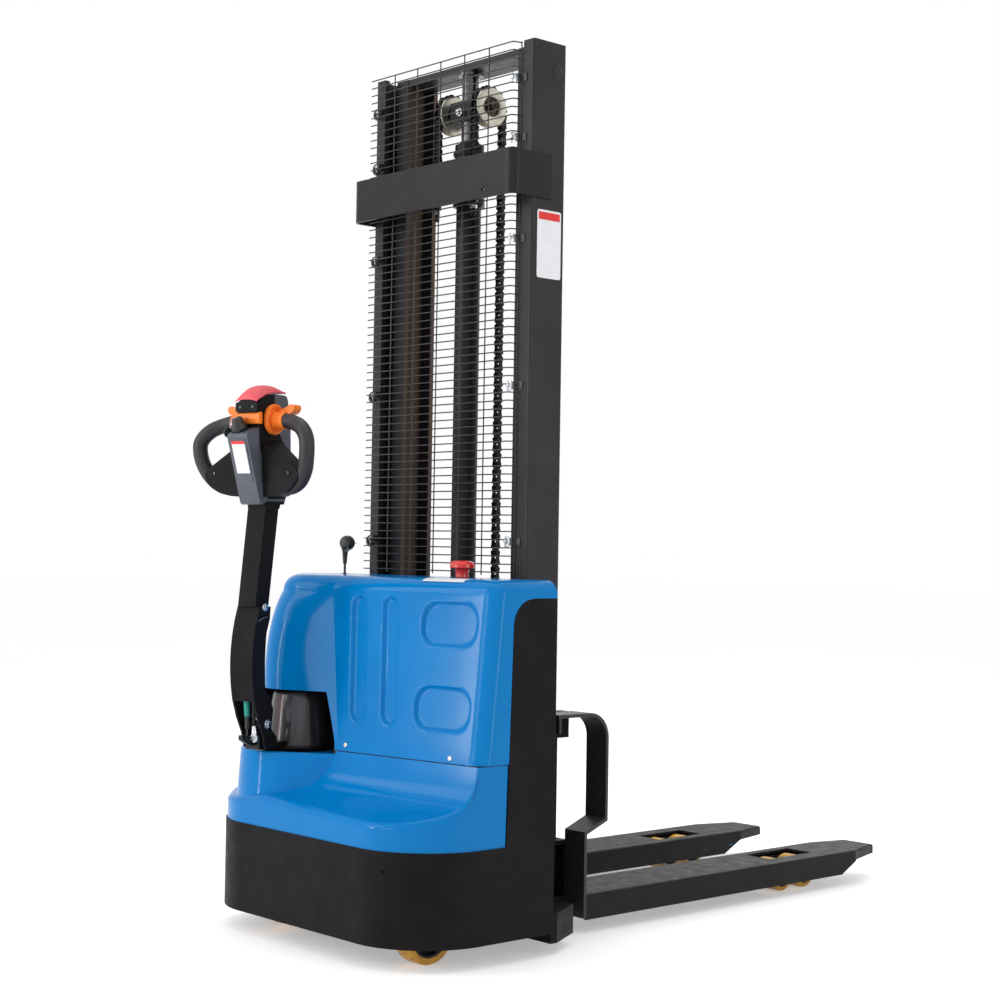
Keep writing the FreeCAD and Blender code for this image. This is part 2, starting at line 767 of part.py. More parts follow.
def tiller_arm():
    forward, height = tiller_pivot
    tube_part = tiller_prism(arm_half, (198.5, 735), (168.0, 975), (121.5, 975), (155.0, 722), (175.0, 722))
    shell = tiller_prism(shell_half, (191.0, 735), ((212.5, 630), (203.5, 526)), (190.0, 488), (172.0, 453),
                         (163.0, 420), (156.0, 417), (145.0, 450), (138.0, 505), (150.0, 535), (166.0, 547),
                         ((169.0, 603), (165.7, 676)), (155.0, 708), (153.0, 735))
    hollow = tiller_prism(shell_half - shell_t, (90.0, 400), (240.0, 400), (240.0, 525),
                          (198.5, 525), ((207.0, 630), (187.0, 720)), (90.0, 720))
    bore = cross_pin(pivot_pin_r, shell_half + 10, forward, height)
    return fuse([tube_part, shell.cut(hollow)]).cut(bore)


def tiller_head():
    console = tiller_prism(29.0, (164.0, 966), (192.0, 961), (241.0, 1110), (239.0, 1118), (201.0, 1134),
                           (186.0, 1060))
    body = tiller_prism(head_half, (108.0, 977), (168.0, 977), (196.0, 1092), (202.0, 1140),
                        (206.0, 1180), ((189.0, 1203), (153.0, 1211)), (120.0, 1211),
                        ((109.0, 1208), (104.0, 1198)), (94.0, 1130), (92.0, 1082), (110.0, 1052))
    collar = tiller_prism(32.0, (100.0, 970), (182.0, 962), (184.0, 990), (106.0, 992))
    socket = tiller_prism(arm_half, (168.0, 975), (121.5, 975), (121.0, 960), (170.0, 960))
    keyhole = tube(11.0, 20, (steer_x, steer_y - 222, 1120), (0, -0.3, 1))
    return fuse([console, body, collar, keyhole]).cut(socket)


def grips():
    place = ahead(grip_forward)
    start = place(head_half + lever_w + 2, grip_root_z)
    edges = [Part.LineSegment(start, place(104, grip_root_z - 1)).toShape(),
             Part.Arc(place(104, grip_root_z - 1), place(142, 1133), place(156, 1096)).toShape(),
             Part.LineSegment(place(156, 1096), place(151, 1062)).toShape(),
             Part.Arc(place(151, 1062), place(134, 1030), place(104, 1012)).toShape()]
    ring = Part.Wire(Part.Circle(start, Vector(1, 0, 0), grip_r).toShape())
    loop = Part.Wire(edges).makePipeShell([ring], True, True)
    wing = swept(outline(ahead(grip_forward - 28), (head_half + 1, 1102), (116.0, 1057), (138.0, 1050),
                         ((150.0, 1040), (148.0, 1024)), (127.0, 1001), (104.0, 990),
                         (head_half + 1, 984)), (0, -34, 0))
    side = fuse([loop, wing])
    other = side.mirror(Vector(steer_x, 0, 0), Vector(1, 0, 0))
    return Part.makeCompound([side, other])


def lever(side):
    """A thumb lever around the root of a grip: disc, hub and the paddle behind it."""
    near = head_half + 0.5
    disc_at = (steer_x + side * near, steer_y - grip_forward + 27, grip_root_z + 3)
    hub_at = (steer_x + side * near, steer_y - grip_forward + 8, grip_root_z + 2)
    edge = near + lever_w
    low = min(side * edge, side * (edge - 12))
    paddle = swept(outline(beside(low), (186.0, 1172), (130.0, 1191), (117.0, 1188), (121.0, 1176),
                           (136.0, 1168), (167.0, 1162)), (12, 0, 0))
    return fuse([tube(33.0, 14, disc_at, (side, 0, 0)), tube(20.0, lever_w, hub_at, (side, 0, 0)), paddle])


def controls():
    pad = tiller_prism(head_half, (113.0, 1214), (153.0, 1216), (191.0, 1208.5), (211.0, 1184), (216.0, 1190),
                       ((203.0, 1218), (168.0, 1231)), (138.0, 1230))
    rocker = tiller_prism(40.0, (204.5, 1141), (214.0, 1143), (214.0, 1163), (207.5, 1167))
    return Part.makeCompound([pad, rocker, lever(1), lever(-1)])


unit = drive_unit()
motor = Part.makeCone(motor_base_r, motor_top_r, motor_top_z - motor_base_z,
                      Vector(steer_x, steer_y, motor_base_z), Vector(0, 0, 1)).cut(unit)
add("drive_unit", parked(unit))
add("motor_cover", parked(biggest(motor)))
add("drive_wheel", parked(pipe(drive_wheel_r, 14.0, drive_wheel_w,
                               (steer_x - drive_wheel_w / 2, steer_y, drive_wheel_r), (1, 0, 0))))
head = tiller_head()
loops = grips()
switches = controls()
add("tiller_arm", parked(tiller_arm()))
add("tiller_head", parked(head))
add("tiller_grips", parked(loops))
add("tiller_controls", parked(switches))


# ---- castor ----
def castor_fork():
    wheel_y = castor_y - castor_trail
    swivel = tube(28.0, 65, (castor_x, castor_y, 148), (0, 0, 1))
    top = box(castor_x - 35, castor_x + 35, wheel_y - 22, castor_y + 28, 140, 148)
    cheek = box(castor_x + 28, castor_x + 35, wheel_y - 22, wheel_y + 22, castor_r - 16, 140)
    cheek2 = box(castor_x - 35, castor_x - 28, wheel_y - 22, wheel_y + 22, castor_r - 16, 140)
    axle = tube(7.0, 70, (castor_x - 35, wheel_y, castor_r), (1, 0, 0))
    return fuse([swivel, top, cheek, cheek2, axle])


add("castor_fork", castor_fork())
add("castor_wheel", pipe(castor_r, 7.0, castor_w,
                         (castor_x - castor_w / 2, castor_y - castor_trail, castor_r), (1, 0, 0)))

# ---- top of the cover ----
def stop_button():
    neck = tube(15.5, 22, (stop_x, cover_gear_y, cover_top_z), (0, 0, 1))
    head = tube(28.0, 20, (stop_x, cover_gear_y, cover_top_z + 19), (0, 0, 1))
    head = head.makeFillet(6.0, edges_at_z(head, cover_top_z + 39))
    return fuse([neck, head])


def charging_plug():
    """The stub of cable standing out of the cover, with the angled plug on it."""
    root = Vector(plug_x, cover_gear_y, cover_top_z)
    stub = tube(3.5, 60, root, (0, 0, 1))
    sleeve = Part.makeCone(4.5, 7.5, 34, root + Vector(0, 0, 24), Vector(0, 0, 1))
    aim = Vector(-0.4, 0.9, 0)
    aim.normalize()
    centre = root + Vector(6, 0, 74)
    head = tube(18.0, 22, centre - aim * 11, aim)
    pieces = [stub, sleeve, head]
    for side in (-1, 1):
        across = Vector(-aim.y, aim.x, 0) * (9.5 * side)
        pieces.append(tube(2.4, 31, centre + across, aim))
    return fuse(pieces)


add("stop_button", stop_button())
add("charging_plug", charging_plug())

for name, shape in nodes.items():
    shape.exportStep("parts/%s.step" % name)
print(len(nodes), "nodes")
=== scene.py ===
"""Finish of a pedestrian electric stacker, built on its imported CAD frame.

Shapes are laid out in millimetres from the rear edge of the chassis side plates,
the way the part's own source does it, and at() turns such a point into the frame.
"""
import math

import bmesh
import bpy
from mathutils import Matrix, Vector


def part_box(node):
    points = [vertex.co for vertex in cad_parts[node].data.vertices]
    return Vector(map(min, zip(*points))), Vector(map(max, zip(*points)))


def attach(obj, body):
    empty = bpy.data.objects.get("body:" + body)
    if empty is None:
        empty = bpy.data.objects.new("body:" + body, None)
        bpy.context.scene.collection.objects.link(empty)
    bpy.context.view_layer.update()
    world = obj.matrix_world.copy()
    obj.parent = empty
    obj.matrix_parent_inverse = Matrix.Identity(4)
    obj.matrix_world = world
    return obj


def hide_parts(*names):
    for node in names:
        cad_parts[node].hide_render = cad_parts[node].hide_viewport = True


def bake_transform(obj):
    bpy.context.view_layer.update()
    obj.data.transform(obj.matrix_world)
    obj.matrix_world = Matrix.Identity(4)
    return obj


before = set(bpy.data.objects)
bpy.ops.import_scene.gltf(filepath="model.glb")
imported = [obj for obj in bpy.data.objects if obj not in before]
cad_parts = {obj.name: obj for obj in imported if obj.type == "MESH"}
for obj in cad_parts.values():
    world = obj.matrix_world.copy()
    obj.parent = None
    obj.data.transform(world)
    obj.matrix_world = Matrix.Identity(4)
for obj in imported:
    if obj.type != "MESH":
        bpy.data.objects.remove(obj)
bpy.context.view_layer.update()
rear_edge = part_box("base_shell")[1].y


def at(x, y, z):
    return Vector((x / 1000, y / 1000 + rear_edge, z / 1000))


# ---- measures shared with the CAD ----
face_yaw = 0.138
face_lean = 0.097
seam_z = 417
steer = (-200, -240)
turn = math.radians(15)
castor = (284, -240)
castor_axle_y = -264
body_half = 400
cover_top_z = 806
crease_foot_x = -16
nose_radius = 85
side_corner = 38
edge_radius = 34
edge_z = 772
bulge_top_z = 410
plate_corner_z = 709
plate_corner_radius = 58
mast_side_x = 283
chain_x = 65
sheave_y = 75
sheave_z = 1903
chain_radius = 43
roller_x = 195
roller_rows = {"inner": 984, "outer": 1073}
roller_radius = 40
sides = {"right": 1, "left": -1}


def face_line(x, z=seam_z):
    """Y of the upper cover's slanting face, which flares out a little at its foot."""
    foot_y, side_x, flare_z, flare_height, flare_out = -216, 377, 462, 45, 4
    flare = max(0, min(1, (flare_z - z) / flare_height))
    return foot_y - face_yaw * (side_x - x) + face_lean * (z - seam_z) - flare_out * flare * flare


def in_tiller(s, forward, z):
    """A point in the tiller's own plane: sideways, forward of the steering axis, height."""
    x = s * math.cos(turn) + forward * math.sin(turn)
    y = s * math.sin(turn) - forward * math.cos(turn)
    return at(steer[0] + x, steer[1] + y, z)


# ---- mesh helpers ----
def fan(start, sweep, steps):
    """Unit vectors from a start angle over a sweep, in radians, both ends included."""
    return [Vector((math.cos(a), math.sin(a))) for a in (start + sweep * k / steps
        for k in range(steps + 1))]


def circle(steps):
    return fan(0, 2 * math.pi, steps)[:-1]


def mirrored(profile, width):
    """A lathe profile and its mirror image, back to back over a width."""
    return profile + [(radius, width - along) for radius, along in reversed(profile)]


def stitch(mesh, a, b):
    """A band of faces between two closed rows of vertices."""
    for k in range(len(a)):
        n = (k + 1) % len(a)
        mesh.faces.new([a[k], a[n], b[n], b[k]])


def skinned(rows, ring=False):
    """A closed mesh over rows of points, with a face on each end, or closed on itself as a ring."""
    mesh = bmesh.new()
    rows = [[mesh.verts.new(p) for p in row] for row in rows]
    for a, b in zip(rows, rows[1:] + rows[:1] if ring else rows[1:]):
        stitch(mesh, a, b)
    if not ring:
        mesh.faces.new(rows[0][::-1])
        mesh.faces.new(rows[-1])
    return mesh


def crease_mesh(mesh, crease=38):
    """Smooth faces, with the sharp edges marked."""
    for e in mesh.edges:
        e.smooth = not (len(e.link_faces) == 2 and e.calc_face_angle(0) > math.radians(crease))
    for face in mesh.faces:
        face.smooth = True


class Form:
    """Gathers closed shapes, laid out in millimetres, into one mesh."""

    def __init__(self, place=at):
        self.mesh = bmesh.new()
        self.place = place

    def take(self, part):
        copies = {v: self.mesh.verts.new(self.place(*v.co)) for v in part.verts}
        for face in part.faces:
            self.mesh.faces.new([copies[v] for v in face.verts])
        part.free()
        return self

    def soften(self, part, edge, segments):
        """Bevels every edge that turns by more than 30 degrees."""
        if edge:
            sharp = [e for e in part.edges if e.calc_face_angle(0) > math.radians(30)]
            bmesh.ops.bevel(part, geom=sharp, offset=edge, segments=segments, affect="EDGES",
                profile=0.5)
        return self.take(part)

    def block(self, low, high, edge=1, segments=2):
        part = bmesh.new()
        bmesh.ops.create_cube(part, size=1)
        for v in part.verts:
            v.co = Vector([a + (b - a) * (c + 0.5) for a, b, c in zip(low, high, v.co)])
        return self.soften(part, edge, segments)

    def slab(self, points, depth, edge=1, segments=2):
        far = [Vector(p) + Vector(depth) for p in points]
        return self.soften(skinned([far, points]), edge, segments)

    def lathe(self, base, axis, profile, steps=32, ring=False):
        """Turns (radius, distance along the axis) points; ring closes the profile on itself."""
        part = bmesh.new()
        turn_to = Vector(axis).normalized().to_track_quat("Z", "Y")
        rows = []

        def shift(along):
            return turn_to @ Vector((0, 0, along)) + Vector(base)

        for radius, along in profile:
            spots = circle(steps) if radius else [Vector((0, 0))]
            rows.append([part.verts.new(turn_to @ (spot * radius).to_3d() + shift(along))
                for spot in spots])
        for a, b in zip(rows, rows[1:] + rows[:1] if ring else rows[1:]):
            if len(a) == len(b) == steps:
                stitch(part, a, b)
                continue
            tip, rim = (a, b) if len(a) == 1 else (b, a)
            for k in range(len(rim) if len(rim) > 1 else 0):
                part.faces.new([tip[0], rim[(k + 1) % steps], rim[k]])
        return self.take(part)

    def pipe(self, points, radius, sides=8, closed=False):
        points = [Vector(p) for p in points]
        count = len(points)
        rows = []
        up = None
        for i, p in enumerate(points):
            before = points[i - 1] if i or closed else points[0]
            after = points[(i + 1) % count] if i < count - 1 or closed else points[-1]
            along = (after - before).normalized()
            if up is None:
                up = along.orthogonal().normalized()
            up = (up - along * up.dot(along)).normalized()
            side = along.cross(up)
            rows.append([p + (up * spot.x + side * spot.y) * radius for spot in circle(sides)])
        return self.take(skinned(rows, closed))

    def bolt(self, base, axis, across=13, height=6, washer=True):
        """A hexagon head on a washer, standing on a surface."""
        half = across / 2
        start = 0
        if washer:
            self.lathe(base, axis, [(0, 0), (half * 1.5, 0), (half * 1.5, 1.2), (half * 1.4, 1.6),
                (0, 1.6)], 24)
            start = 1.6
        top = start + height
        self.lathe(base, axis, [(0, start), (half * 1.1, start), (half * 1.15, start + 0.5),
            (half * 1.15, top - 1), (half * 0.98, top), (0, top)], 6)
        return self

    def screw(self, base, axis, radius=6, height=3.5):
        """A domed button head with a hexagon socket."""
        self.lathe(base, axis, [(radius, 0), (radius * 0.97, height * 0.45),
            (radius * 0.8, height * 0.85), (radius * 0.5, height), (radius * 0.42, height),
            (radius * 0.4, height * 0.3), (0, height * 0.25)], 24)
        return self

    def done(self, name, look, body, slot=None, stands_for=(), crease=38):
        bmesh.ops.recalc_face_normals(self.mesh, faces=self.mesh.faces)
        crease_mesh(self.mesh, crease)
        return settle(as_object(name, self.mesh), look, body, stands_for)


def as_object(name, mesh):
    data = bpy.data.meshes.new(name)
    mesh.to_mesh(data)
    mesh.free()
    return bpy.data.objects.new(name, data)


def settle(obj, look, body, stands_for=()):
    if obj.name not in bpy.context.scene.collection.objects:
        bpy.context.scene.collection.objects.link(obj)
    obj.data.materials.clear()
    for one in look if isinstance(look, list) else [look]:
        obj.data.materials.append(one.material)
    if body:
        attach(obj, body)
    if stands_for:
        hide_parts(*stands_for)
    return obj


def spline(points, steps):
    """A smooth line through the points."""
    points = [Vector(p) for p in points]
    loop = [points[0] * 2 - points[1]] + points + [points[-1] * 2 - points[-2]]
    line = []
    for a, b, c, d in zip(loop, loop[1:], loop[2:], loop[3:]):
        for k in range(steps):
            t = k / steps
            line.append(0.5 * ((2 * b) + (c - a) * t + (2 * a - 5 * b + 4 * c - d) * t * t
                + (3 * b - a - 3 * c + d) * t ** 3))
    return line + [points[-1]]


def fillet(a, corner, b, radius, steps):
    """Points of the arc that rounds a corner, each with the arc's outward normal."""
    a, corner, b = Vector(a), Vector(corner), Vector(b)
    back = (a - corner).normalized()
    on = (b - corner).normalized()
    half = back.angle(on) / 2
    if radius <= 0 or abs(half - math.pi / 2) < 1e-3:
        return [(corner, back)]
    centre = corner + (back + on).normalized() * (radius / math.sin(half))
    reach = radius / math.tan(half)
    start = corner + back * reach - centre
    end = corner + on * reach - centre
    sweep = math.atan2(start.x * end.y - start.y * end.x, start.dot(end))
    arms = [Matrix.Rotation(sweep * k / steps, 2) @ start for k in range(steps + 1)]
    return [(centre + arm, arm.normalized() if sweep < 0 else -arm.normalized()) for arm in arms]


def rounded_polygon(corners, radii, steps=6):
    """A closed plane outline with its corners rounded."""
    if not isinstance(radii, list):
        radii = [radii] * len(corners)
    around = zip(corners[-1:] + corners[:-1], corners, corners[1:] + corners[:1], radii)
    return [p for a, corner, b, radius in around for p, _ in fillet(a, corner, b, radius, steps)]


# ---- materials ----
def linear(r, g, b):
    def one(v):
        v /= 255
        return v / 12.92 if v <= 0.04045 else ((v + 0.055) / 1.055) ** 2.4
    return (one(r), one(g), one(b), 1)


class Tree:
    """A node tree, with a short way to add nodes."""

    def __init__(self, tree):
        self.nodes = tree.nodes
        self.links = tree.links

    def node(self, kind, inputs, output, **settings):
        """Adds a node; an input is a value, or the socket that feeds it."""
        node = self.nodes.new("ShaderNode" + kind)
        for key, value in settings.items():
            setattr(node, key, value)
        for key, value in inputs.items():
            if isinstance(value, bpy.types.NodeSocket):
                self.links.new(value, node.inputs[key])
            else:
                node.inputs[key].default_value = value
        return node.outputs[output]

    def ramp(self, source, low, high, a=0, b=1):
        limits = {"Value": source, "From Min": low, "From Max": high, "To Min": a, "To Max": b}
        return self.node("MapRange", limits, "Result", clamp=True)


class Look(Tree):
    """A material whose colour, roughness and relief vary over the surface."""

    def __init__(self, name, metal=0, coat=0, specular=0.5):
        self.material = bpy.data.materials.new(name)
        self.material.use_nodes = True
        super().__init__(self.material.node_tree)
        self.shader = self.nodes["Principled BSDF"]
        for socket, value in (("Metallic", metal), ("Coat Weight", coat), ("Coat Roughness", 0.08),
                ("Specular IOR Level", specular)):
            self.shader.inputs[socket].default_value = value
        self.space = self.node("TexCoord", {}, "Object")
        self.colour = None
        self.relief = None

    def noise(self, scale, detail=3, stretch=None):
        source = self.space
        if stretch:
            source = self.node("Mapping", {"Vector": source, "Scale": stretch}, "Vector")
        return self.node("TexNoise", {"Vector": source, "Scale": scale, "Detail": detail}, "Fac")

    def times(self, a, b):
        return self.node("Math", {0: a, 1: b}, "Value", operation="MULTIPLY")

    def facing_sides(self):
        """1 where the surface looks sideways, along x."""
        sideways = self.node("SeparateXYZ", {"Vector": self.node("NewGeometry", {}, "Normal")}, "X")
        return self.ramp(self.node("Math", {0: sideways}, "Value", operation="ABSOLUTE"), 0.6, 0.8)

    def edges(self, radius):
        """Near 1 on the edges and near 0 on flat ground."""
        rounded = self.node("Bevel", {"Radius": radius}, "Normal", samples=4)
        pair = {0: rounded, 1: self.node("NewGeometry", {}, "Normal")}
        return self.ramp(self.node("VectorMath", pair, "Value", operation="DOT_PRODUCT"), 0.99, 0.85)

    def paint(self, colour, mask=None):
        """Lays a colour, written 0 to 255, over what is there, where the mask is 1."""
        if self.colour is None:
            self.colour = self.node("RGB", {}, 0)
            self.colour.default_value = linear(*colour)
        else:
            layers = {"Factor": mask, 6: self.colour, 7: linear(*colour)}
            self.colour = self.node("Mix", layers, 2, data_type="RGBA")
        self.links.new(self.colour, self.shader.inputs["Base Color"])

    def rough(self, low, high, source=None):
        if source is None:
            source = self.noise(35)
        self.links.new(self.ramp(source, 0.3, 0.7, low, high), self.shader.inputs["Roughness"])

    def carve(self, normal):
        self.relief = normal
        self.links.new(normal, self.shader.inputs["Normal"])

    def bump(self, source, strength, distance=0.0004):
        inputs = {"Strength": strength, "Distance": distance, "Height": source}
        if self.relief is not None:
            inputs["Normal"] = self.relief
        self.carve(self.node("Bump", inputs, "Normal"))

    def round_edges(self, radius):
        self.carve(self.node("Bevel", {"Radius": radius}, "Normal", samples=6))


def painted(name, dark, light, patch=30, rough=(0.4, 0.5), grain=0.25, grain_size=900, edge=0.0012,
        worn=None, coat=0, specular=0.22):
    look = Look(name, 0, coat, specular)
    look.paint(dark)
    look.paint(light, look.ramp(look.noise(patch, 4), 0.35, 0.75))
    if worn:
        broken = look.ramp(look.noise(160, 4), 0.45, 0.6)
        look.paint(worn, look.times(look.edges(0.0016), broken))
    look.rough(*rough)
    look.round_edges(edge)
    look.bump(look.noise(grain_size, 2), grain)
    return look


def metal(name, colour, other, rough=(0.2, 0.4), stretch=None, grain=0.1, edge=0.0008):
    look = Look(name, 1)
    look.paint(colour)
    look.paint(other, look.ramp(look.noise(60, 5), 0.4, 0.7))
    look.rough(rough[0], rough[1], look.noise(240, 3, stretch))
    look.round_edges(edge)
    look.bump(look.noise(700, 2, stretch), grain, 0.0002)
    return look


def plastic(name, colour, other, rough=(0.35, 0.45), grain=0.2, grain_size=1400, coat=0, specular=0.5):
    look = Look(name, 0, coat, specular)
    look.paint(colour)
    look.paint(other, look.ramp(look.noise(25, 3), 0.35, 0.7))
    look.rough(*rough)
    look.bump(look.noise(grain_size, 2), grain, 0.0002)
    return look


black_steel = painted("powder_black", (22, 20, 22), (29, 27, 29), 14, (0.42, 0.55), 0.5, 620, 0.0014,
    (80, 78, 78), specular=0.07)
mast_paint = painted("mast_paint", (40, 38, 40), (48, 46, 48), 9, (0.3, 0.42), 0.3, 700, 0.0014,
    (120, 118, 120))
band_paint = painted("band_paint", (32, 30, 33), (38, 36, 39), 12, (0.26, 0.36), 0.3, 700, 0.0014,
    specular=0.18)
# Fork straps: a lit copy of the black paint, painted lighter for the sheen they catch where the lamps
# here leave them in shade.
strap_lit_black = painted("strap_lit_black", (46, 44, 48), (52, 50, 54), 12, (0.3, 0.42), 0.3, 700, 0.0014,
    specular=0.3)
dark_paint = painted("dark_paint", (20, 20, 22), (28, 28, 30), 20, (0.32, 0.45), 0.25)

blue_gloss = Look("blue_gloss", 0, 0.12, 0.08)
blue_gloss.paint((0, 121, 192))
blue_gloss.paint((0, 127, 199), blue_gloss.ramp(blue_gloss.noise(4, 2), 0.35, 0.7))
blue_gloss.rough(0.12, 0.2, blue_gloss.noise(12))
blue_gloss.bump(blue_gloss.noise(55, 2), 0.05, 0.0006)
blue_gloss.bump(blue_gloss.noise(900, 2), 0.04, 0.0002)
black_inside = plastic("black_inside", (30, 30, 33), (38, 38, 41), (0.5, 0.6))

# Inner channels: a brown tint on the faces that look sideways, partly grease and partly a painted
# reflection.
grease_and_reflection_steel = painted("grease_and_reflection_steel", (30, 28, 31), (38, 36, 39), 9, (0.3, 0.42), 0.3, 700, 0.0014,
    (95, 90, 88))
grease_and_reflection_film = grease_and_reflection_steel.noise(3, 4, (9, 9, 0.3))
grease_and_reflection_steel.paint((92, 74, 62), grease_and_reflection_steel.times(grease_and_reflection_steel.ramp(grease_and_reflection_film, 0.36, 0.6, 0.35, 1),
    grease_and_reflection_steel.facing_sides()))

fork_black = painted("fork_black", (25, 24, 25), (32, 31, 32), 16, (0.4, 0.55), 0.5, 500, 0.0014,
    (84, 82, 82), specular=0.12)
marks = fork_black.ramp(fork_black.noise(60, 4, (1, 0.22, 1.4)), 0.68, 0.71)
where = fork_black.ramp(fork_black.noise(5, 2), 0.52, 0.58)
fork_black.paint((20, 104, 150), fork_black.times(marks, where))
scuffs = fork_black.ramp(fork_black.noise(90, 5, (1, 0.12, 1)), 0.7, 0.76)
fork_black.paint((64, 62, 62), fork_black.times(scuffs, 0.15))

zinc = metal("zinc_plate", (205, 208, 210), (176, 180, 186), (0.22, 0.38))
chrome = metal("chrome_rod", (215, 218, 222), (196, 198, 202), (0.06, 0.14), (1, 1, 0.1), 0.03)
rod_steel = metal("hard_rod", (100, 98, 102), (92, 89, 92), (0.12, 0.2), (1, 1, 0.1), 0.04)
cream_zinc = metal("sheave_steel", (214, 210, 196), (192, 188, 172), (0.3, 0.45))
chain_steel = metal("oiled_chain", (52, 50, 50), (30, 29, 30), (0.28, 0.5))
brown_steel = metal("bearing_steel", (92, 78, 68), (60, 50, 44), (0.3, 0.5))
wire_black = plastic("wire_coating", (22, 22, 24), (32, 32, 34), (0.28, 0.36))
grey_case = plastic("grey_case", (84, 88, 97), (92, 96, 106), (0.36, 0.46), 0.35, specular=0.3)
black_case = plastic("black_case", (20, 19, 22), (27, 26, 30), (0.46, 0.56), 0.4, specular=0.09)
grip_rubber = plastic("grip_rubber", (40, 38, 42), (48, 46, 50), (0.42, 0.54), 0.5, 1100, specular=0.35)
orange = plastic("orange_lever", (252, 128, 40), (250, 136, 52), (0.32, 0.42), 0.1, specular=0.3)
pad_red = plastic("pad_red", (226, 82, 92), (234, 96, 104), (0.4, 0.5), 0.15, specular=0.3)
stop_red = plastic("stop_red", (232, 40, 34), (240, 52, 44), (0.22, 0.3), 0.05, coat=0.3)
# Motor cover: dark gloss with painted reflections, laid on as light grey and brown vertical streaks.
motor_black = Look("motor_gloss", 0, 0.3, 0.3)
motor_black.paint((42, 40, 46))
reflection_streaks = motor_black.noise(34, 5, (1, 1, 0.04))
motor_black.paint((86, 82, 88), motor_black.ramp(reflection_streaks, 0.52, 0.66, 0, 0.75))
motor_black.paint((96, 66, 54), motor_black.ramp(motor_black.noise(21, 4, (1, 1, 0.05)), 0.58, 0.68, 0,
    0.7))
motor_black.rough(0.2, 0.3, reflection_streaks)
motor_black.bump(reflection_streaks, 0.15, 0.0003)
label_white = plastic("label_white", (244, 245, 247), (236, 238, 241), (0.3, 0.36), 0.05)
label_red = plastic("label_red", (232, 44, 40), (226, 38, 36), (0.3, 0.36), 0.05)
label_teal = plastic("label_teal", (28, 148, 132), (34, 156, 140), (0.3, 0.36), 0.05)
cable_black = plastic("cable_black", (24, 24, 26), (30, 30, 32), (0.35, 0.45), 0.1)

screw_white = metal("screw_nickel", (232, 226, 216), (214, 208, 200), (0.25, 0.4))
window_black = plastic("window_black", (18, 18, 22), (25, 25, 29), (0.4, 0.5), 0.1, specular=0.08)
tag_grey = plastic("tag_grey", (58, 60, 68), (66, 68, 76), (0.35, 0.5), 0.2)
worn_steel = metal("worn_edge", (170, 168, 168), (130, 128, 128), (0.3, 0.45))

polyurethane = Look("polyurethane", 0, 0.1)
polyurethane.shader.inputs["Subsurface Weight"].default_value = 0.08
polyurethane.paint((226, 170, 52))
polyurethane.paint((206, 146, 38), polyurethane.ramp(polyurethane.noise(30, 4), 0.4, 0.7))
polyurethane.paint((96, 80, 50), polyurethane.ramp(polyurethane.noise(90, 5), 0.58, 0.72))
polyurethane.rough(0.3, 0.5)
polyurethane.bump(polyurethane.noise(300, 3), 0.15)

# ---- what stays as the CAD made it ----
kept_nodes = (
    (black_steel, "base_shell mast_base carriage tiller_arm"),
    (dark_paint, "base_deck hydraulic_unit barrel chain_anchor chain_yoke drive_unit"),
    (black_inside, "battery"),
    (mast_paint, "outer_channel_right outer_channel_left inner_crosshead inner_foot_plate"),
    (band_paint, "mast_band"),
    (grease_and_reflection_steel, "inner_channel_right inner_channel_left"),
    (rod_steel, "lift_rod"),
    (fork_black, "support_leg_right support_leg_left fork_right fork_left"),
    (strap_lit_black, "fork_strap_right fork_strap_left"),
)
for look, names in kept_nodes:
    for name in names.split():
        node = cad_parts[name]
        for place in node.material_slots:
            place.material = look.material
        if not node.material_slots:
            node.data.materials.append(look.material)


# ---- upper cover ----
def plan_points(z):
    """Plan outline of the upper cover at a height, as runs of points with outward normals."""
    start_z, height, depth = 570, 228, 95
    rise = max(0, min(0.985, (z - start_z) / height))
    nose = Vector((steer[0], steer[1] + depth * (1 - math.sqrt(1 - rise * rise))))
    crease_x = crease_foot_x - 69 * (z - seam_z) / (cover_top_z - seam_z)
    crease = Vector((crease_x, face_line(crease_x, z)))
    front_right = Vector((body_half, face_line(body_half, z)))
    left = Vector((-body_half, -172 + face_lean * (z - seam_z)))

    def touch(point, side):
        away = point - nose
        swing = math.acos(nose_radius / away.length) * side
        return nose + fan(math.atan2(away.y, away.x) + swing, 0, 1)[0] * nose_radius

    def run(a, b, steps):
        on = (b - a).normalized()
        outward = Vector((-on.y, on.x))
        return [(a.lerp(b, k / steps), outward) for k in range(1, steps)]

    first = touch(crease, -1)
    last = touch(left, 1)
    right_bend = fillet((body_half, 0), front_right, crease, side_corner, 10)
    crease_bend = fillet(front_right, crease, first, 5, 6)
    left_bend = fillet(last, left, (-body_half, 0), side_corner, 8)
    begin = math.atan2(first.y - nose.y, first.x - nose.x)
    finish = math.atan2(last.y - nose.y, last.x - nose.x)
    while finish > begin:
        finish -= 2 * math.pi
    nose_arc = [(nose + aim * nose_radius, aim) for aim in fan(begin, finish - begin, 32)]
    return {"right_bend": right_bend, "face": run(right_bend[-1][0], crease_bend[0][0], 150),
        "rest": crease_bend + run(crease_bend[-1][0], nose_arc[0][0], 16) + nose_arc
        + run(nose_arc[-1][0], left_bend[0][0], 14) + left_bend,}


def plate_front(z):
    """Front edge of the chassis side plates, less a joint of 1.5 mm."""
    low_z, low_y, run_out = 47, -144, 18
    y = low_y + run_out * (z - low_z) / (plate_corner_z - low_z)
    if z > plate_corner_z:
        rise = min(plate_corner_radius, z - plate_corner_z)
        y = -68 - math.sqrt(plate_corner_radius ** 2 - rise ** 2)
    return y - 1.5


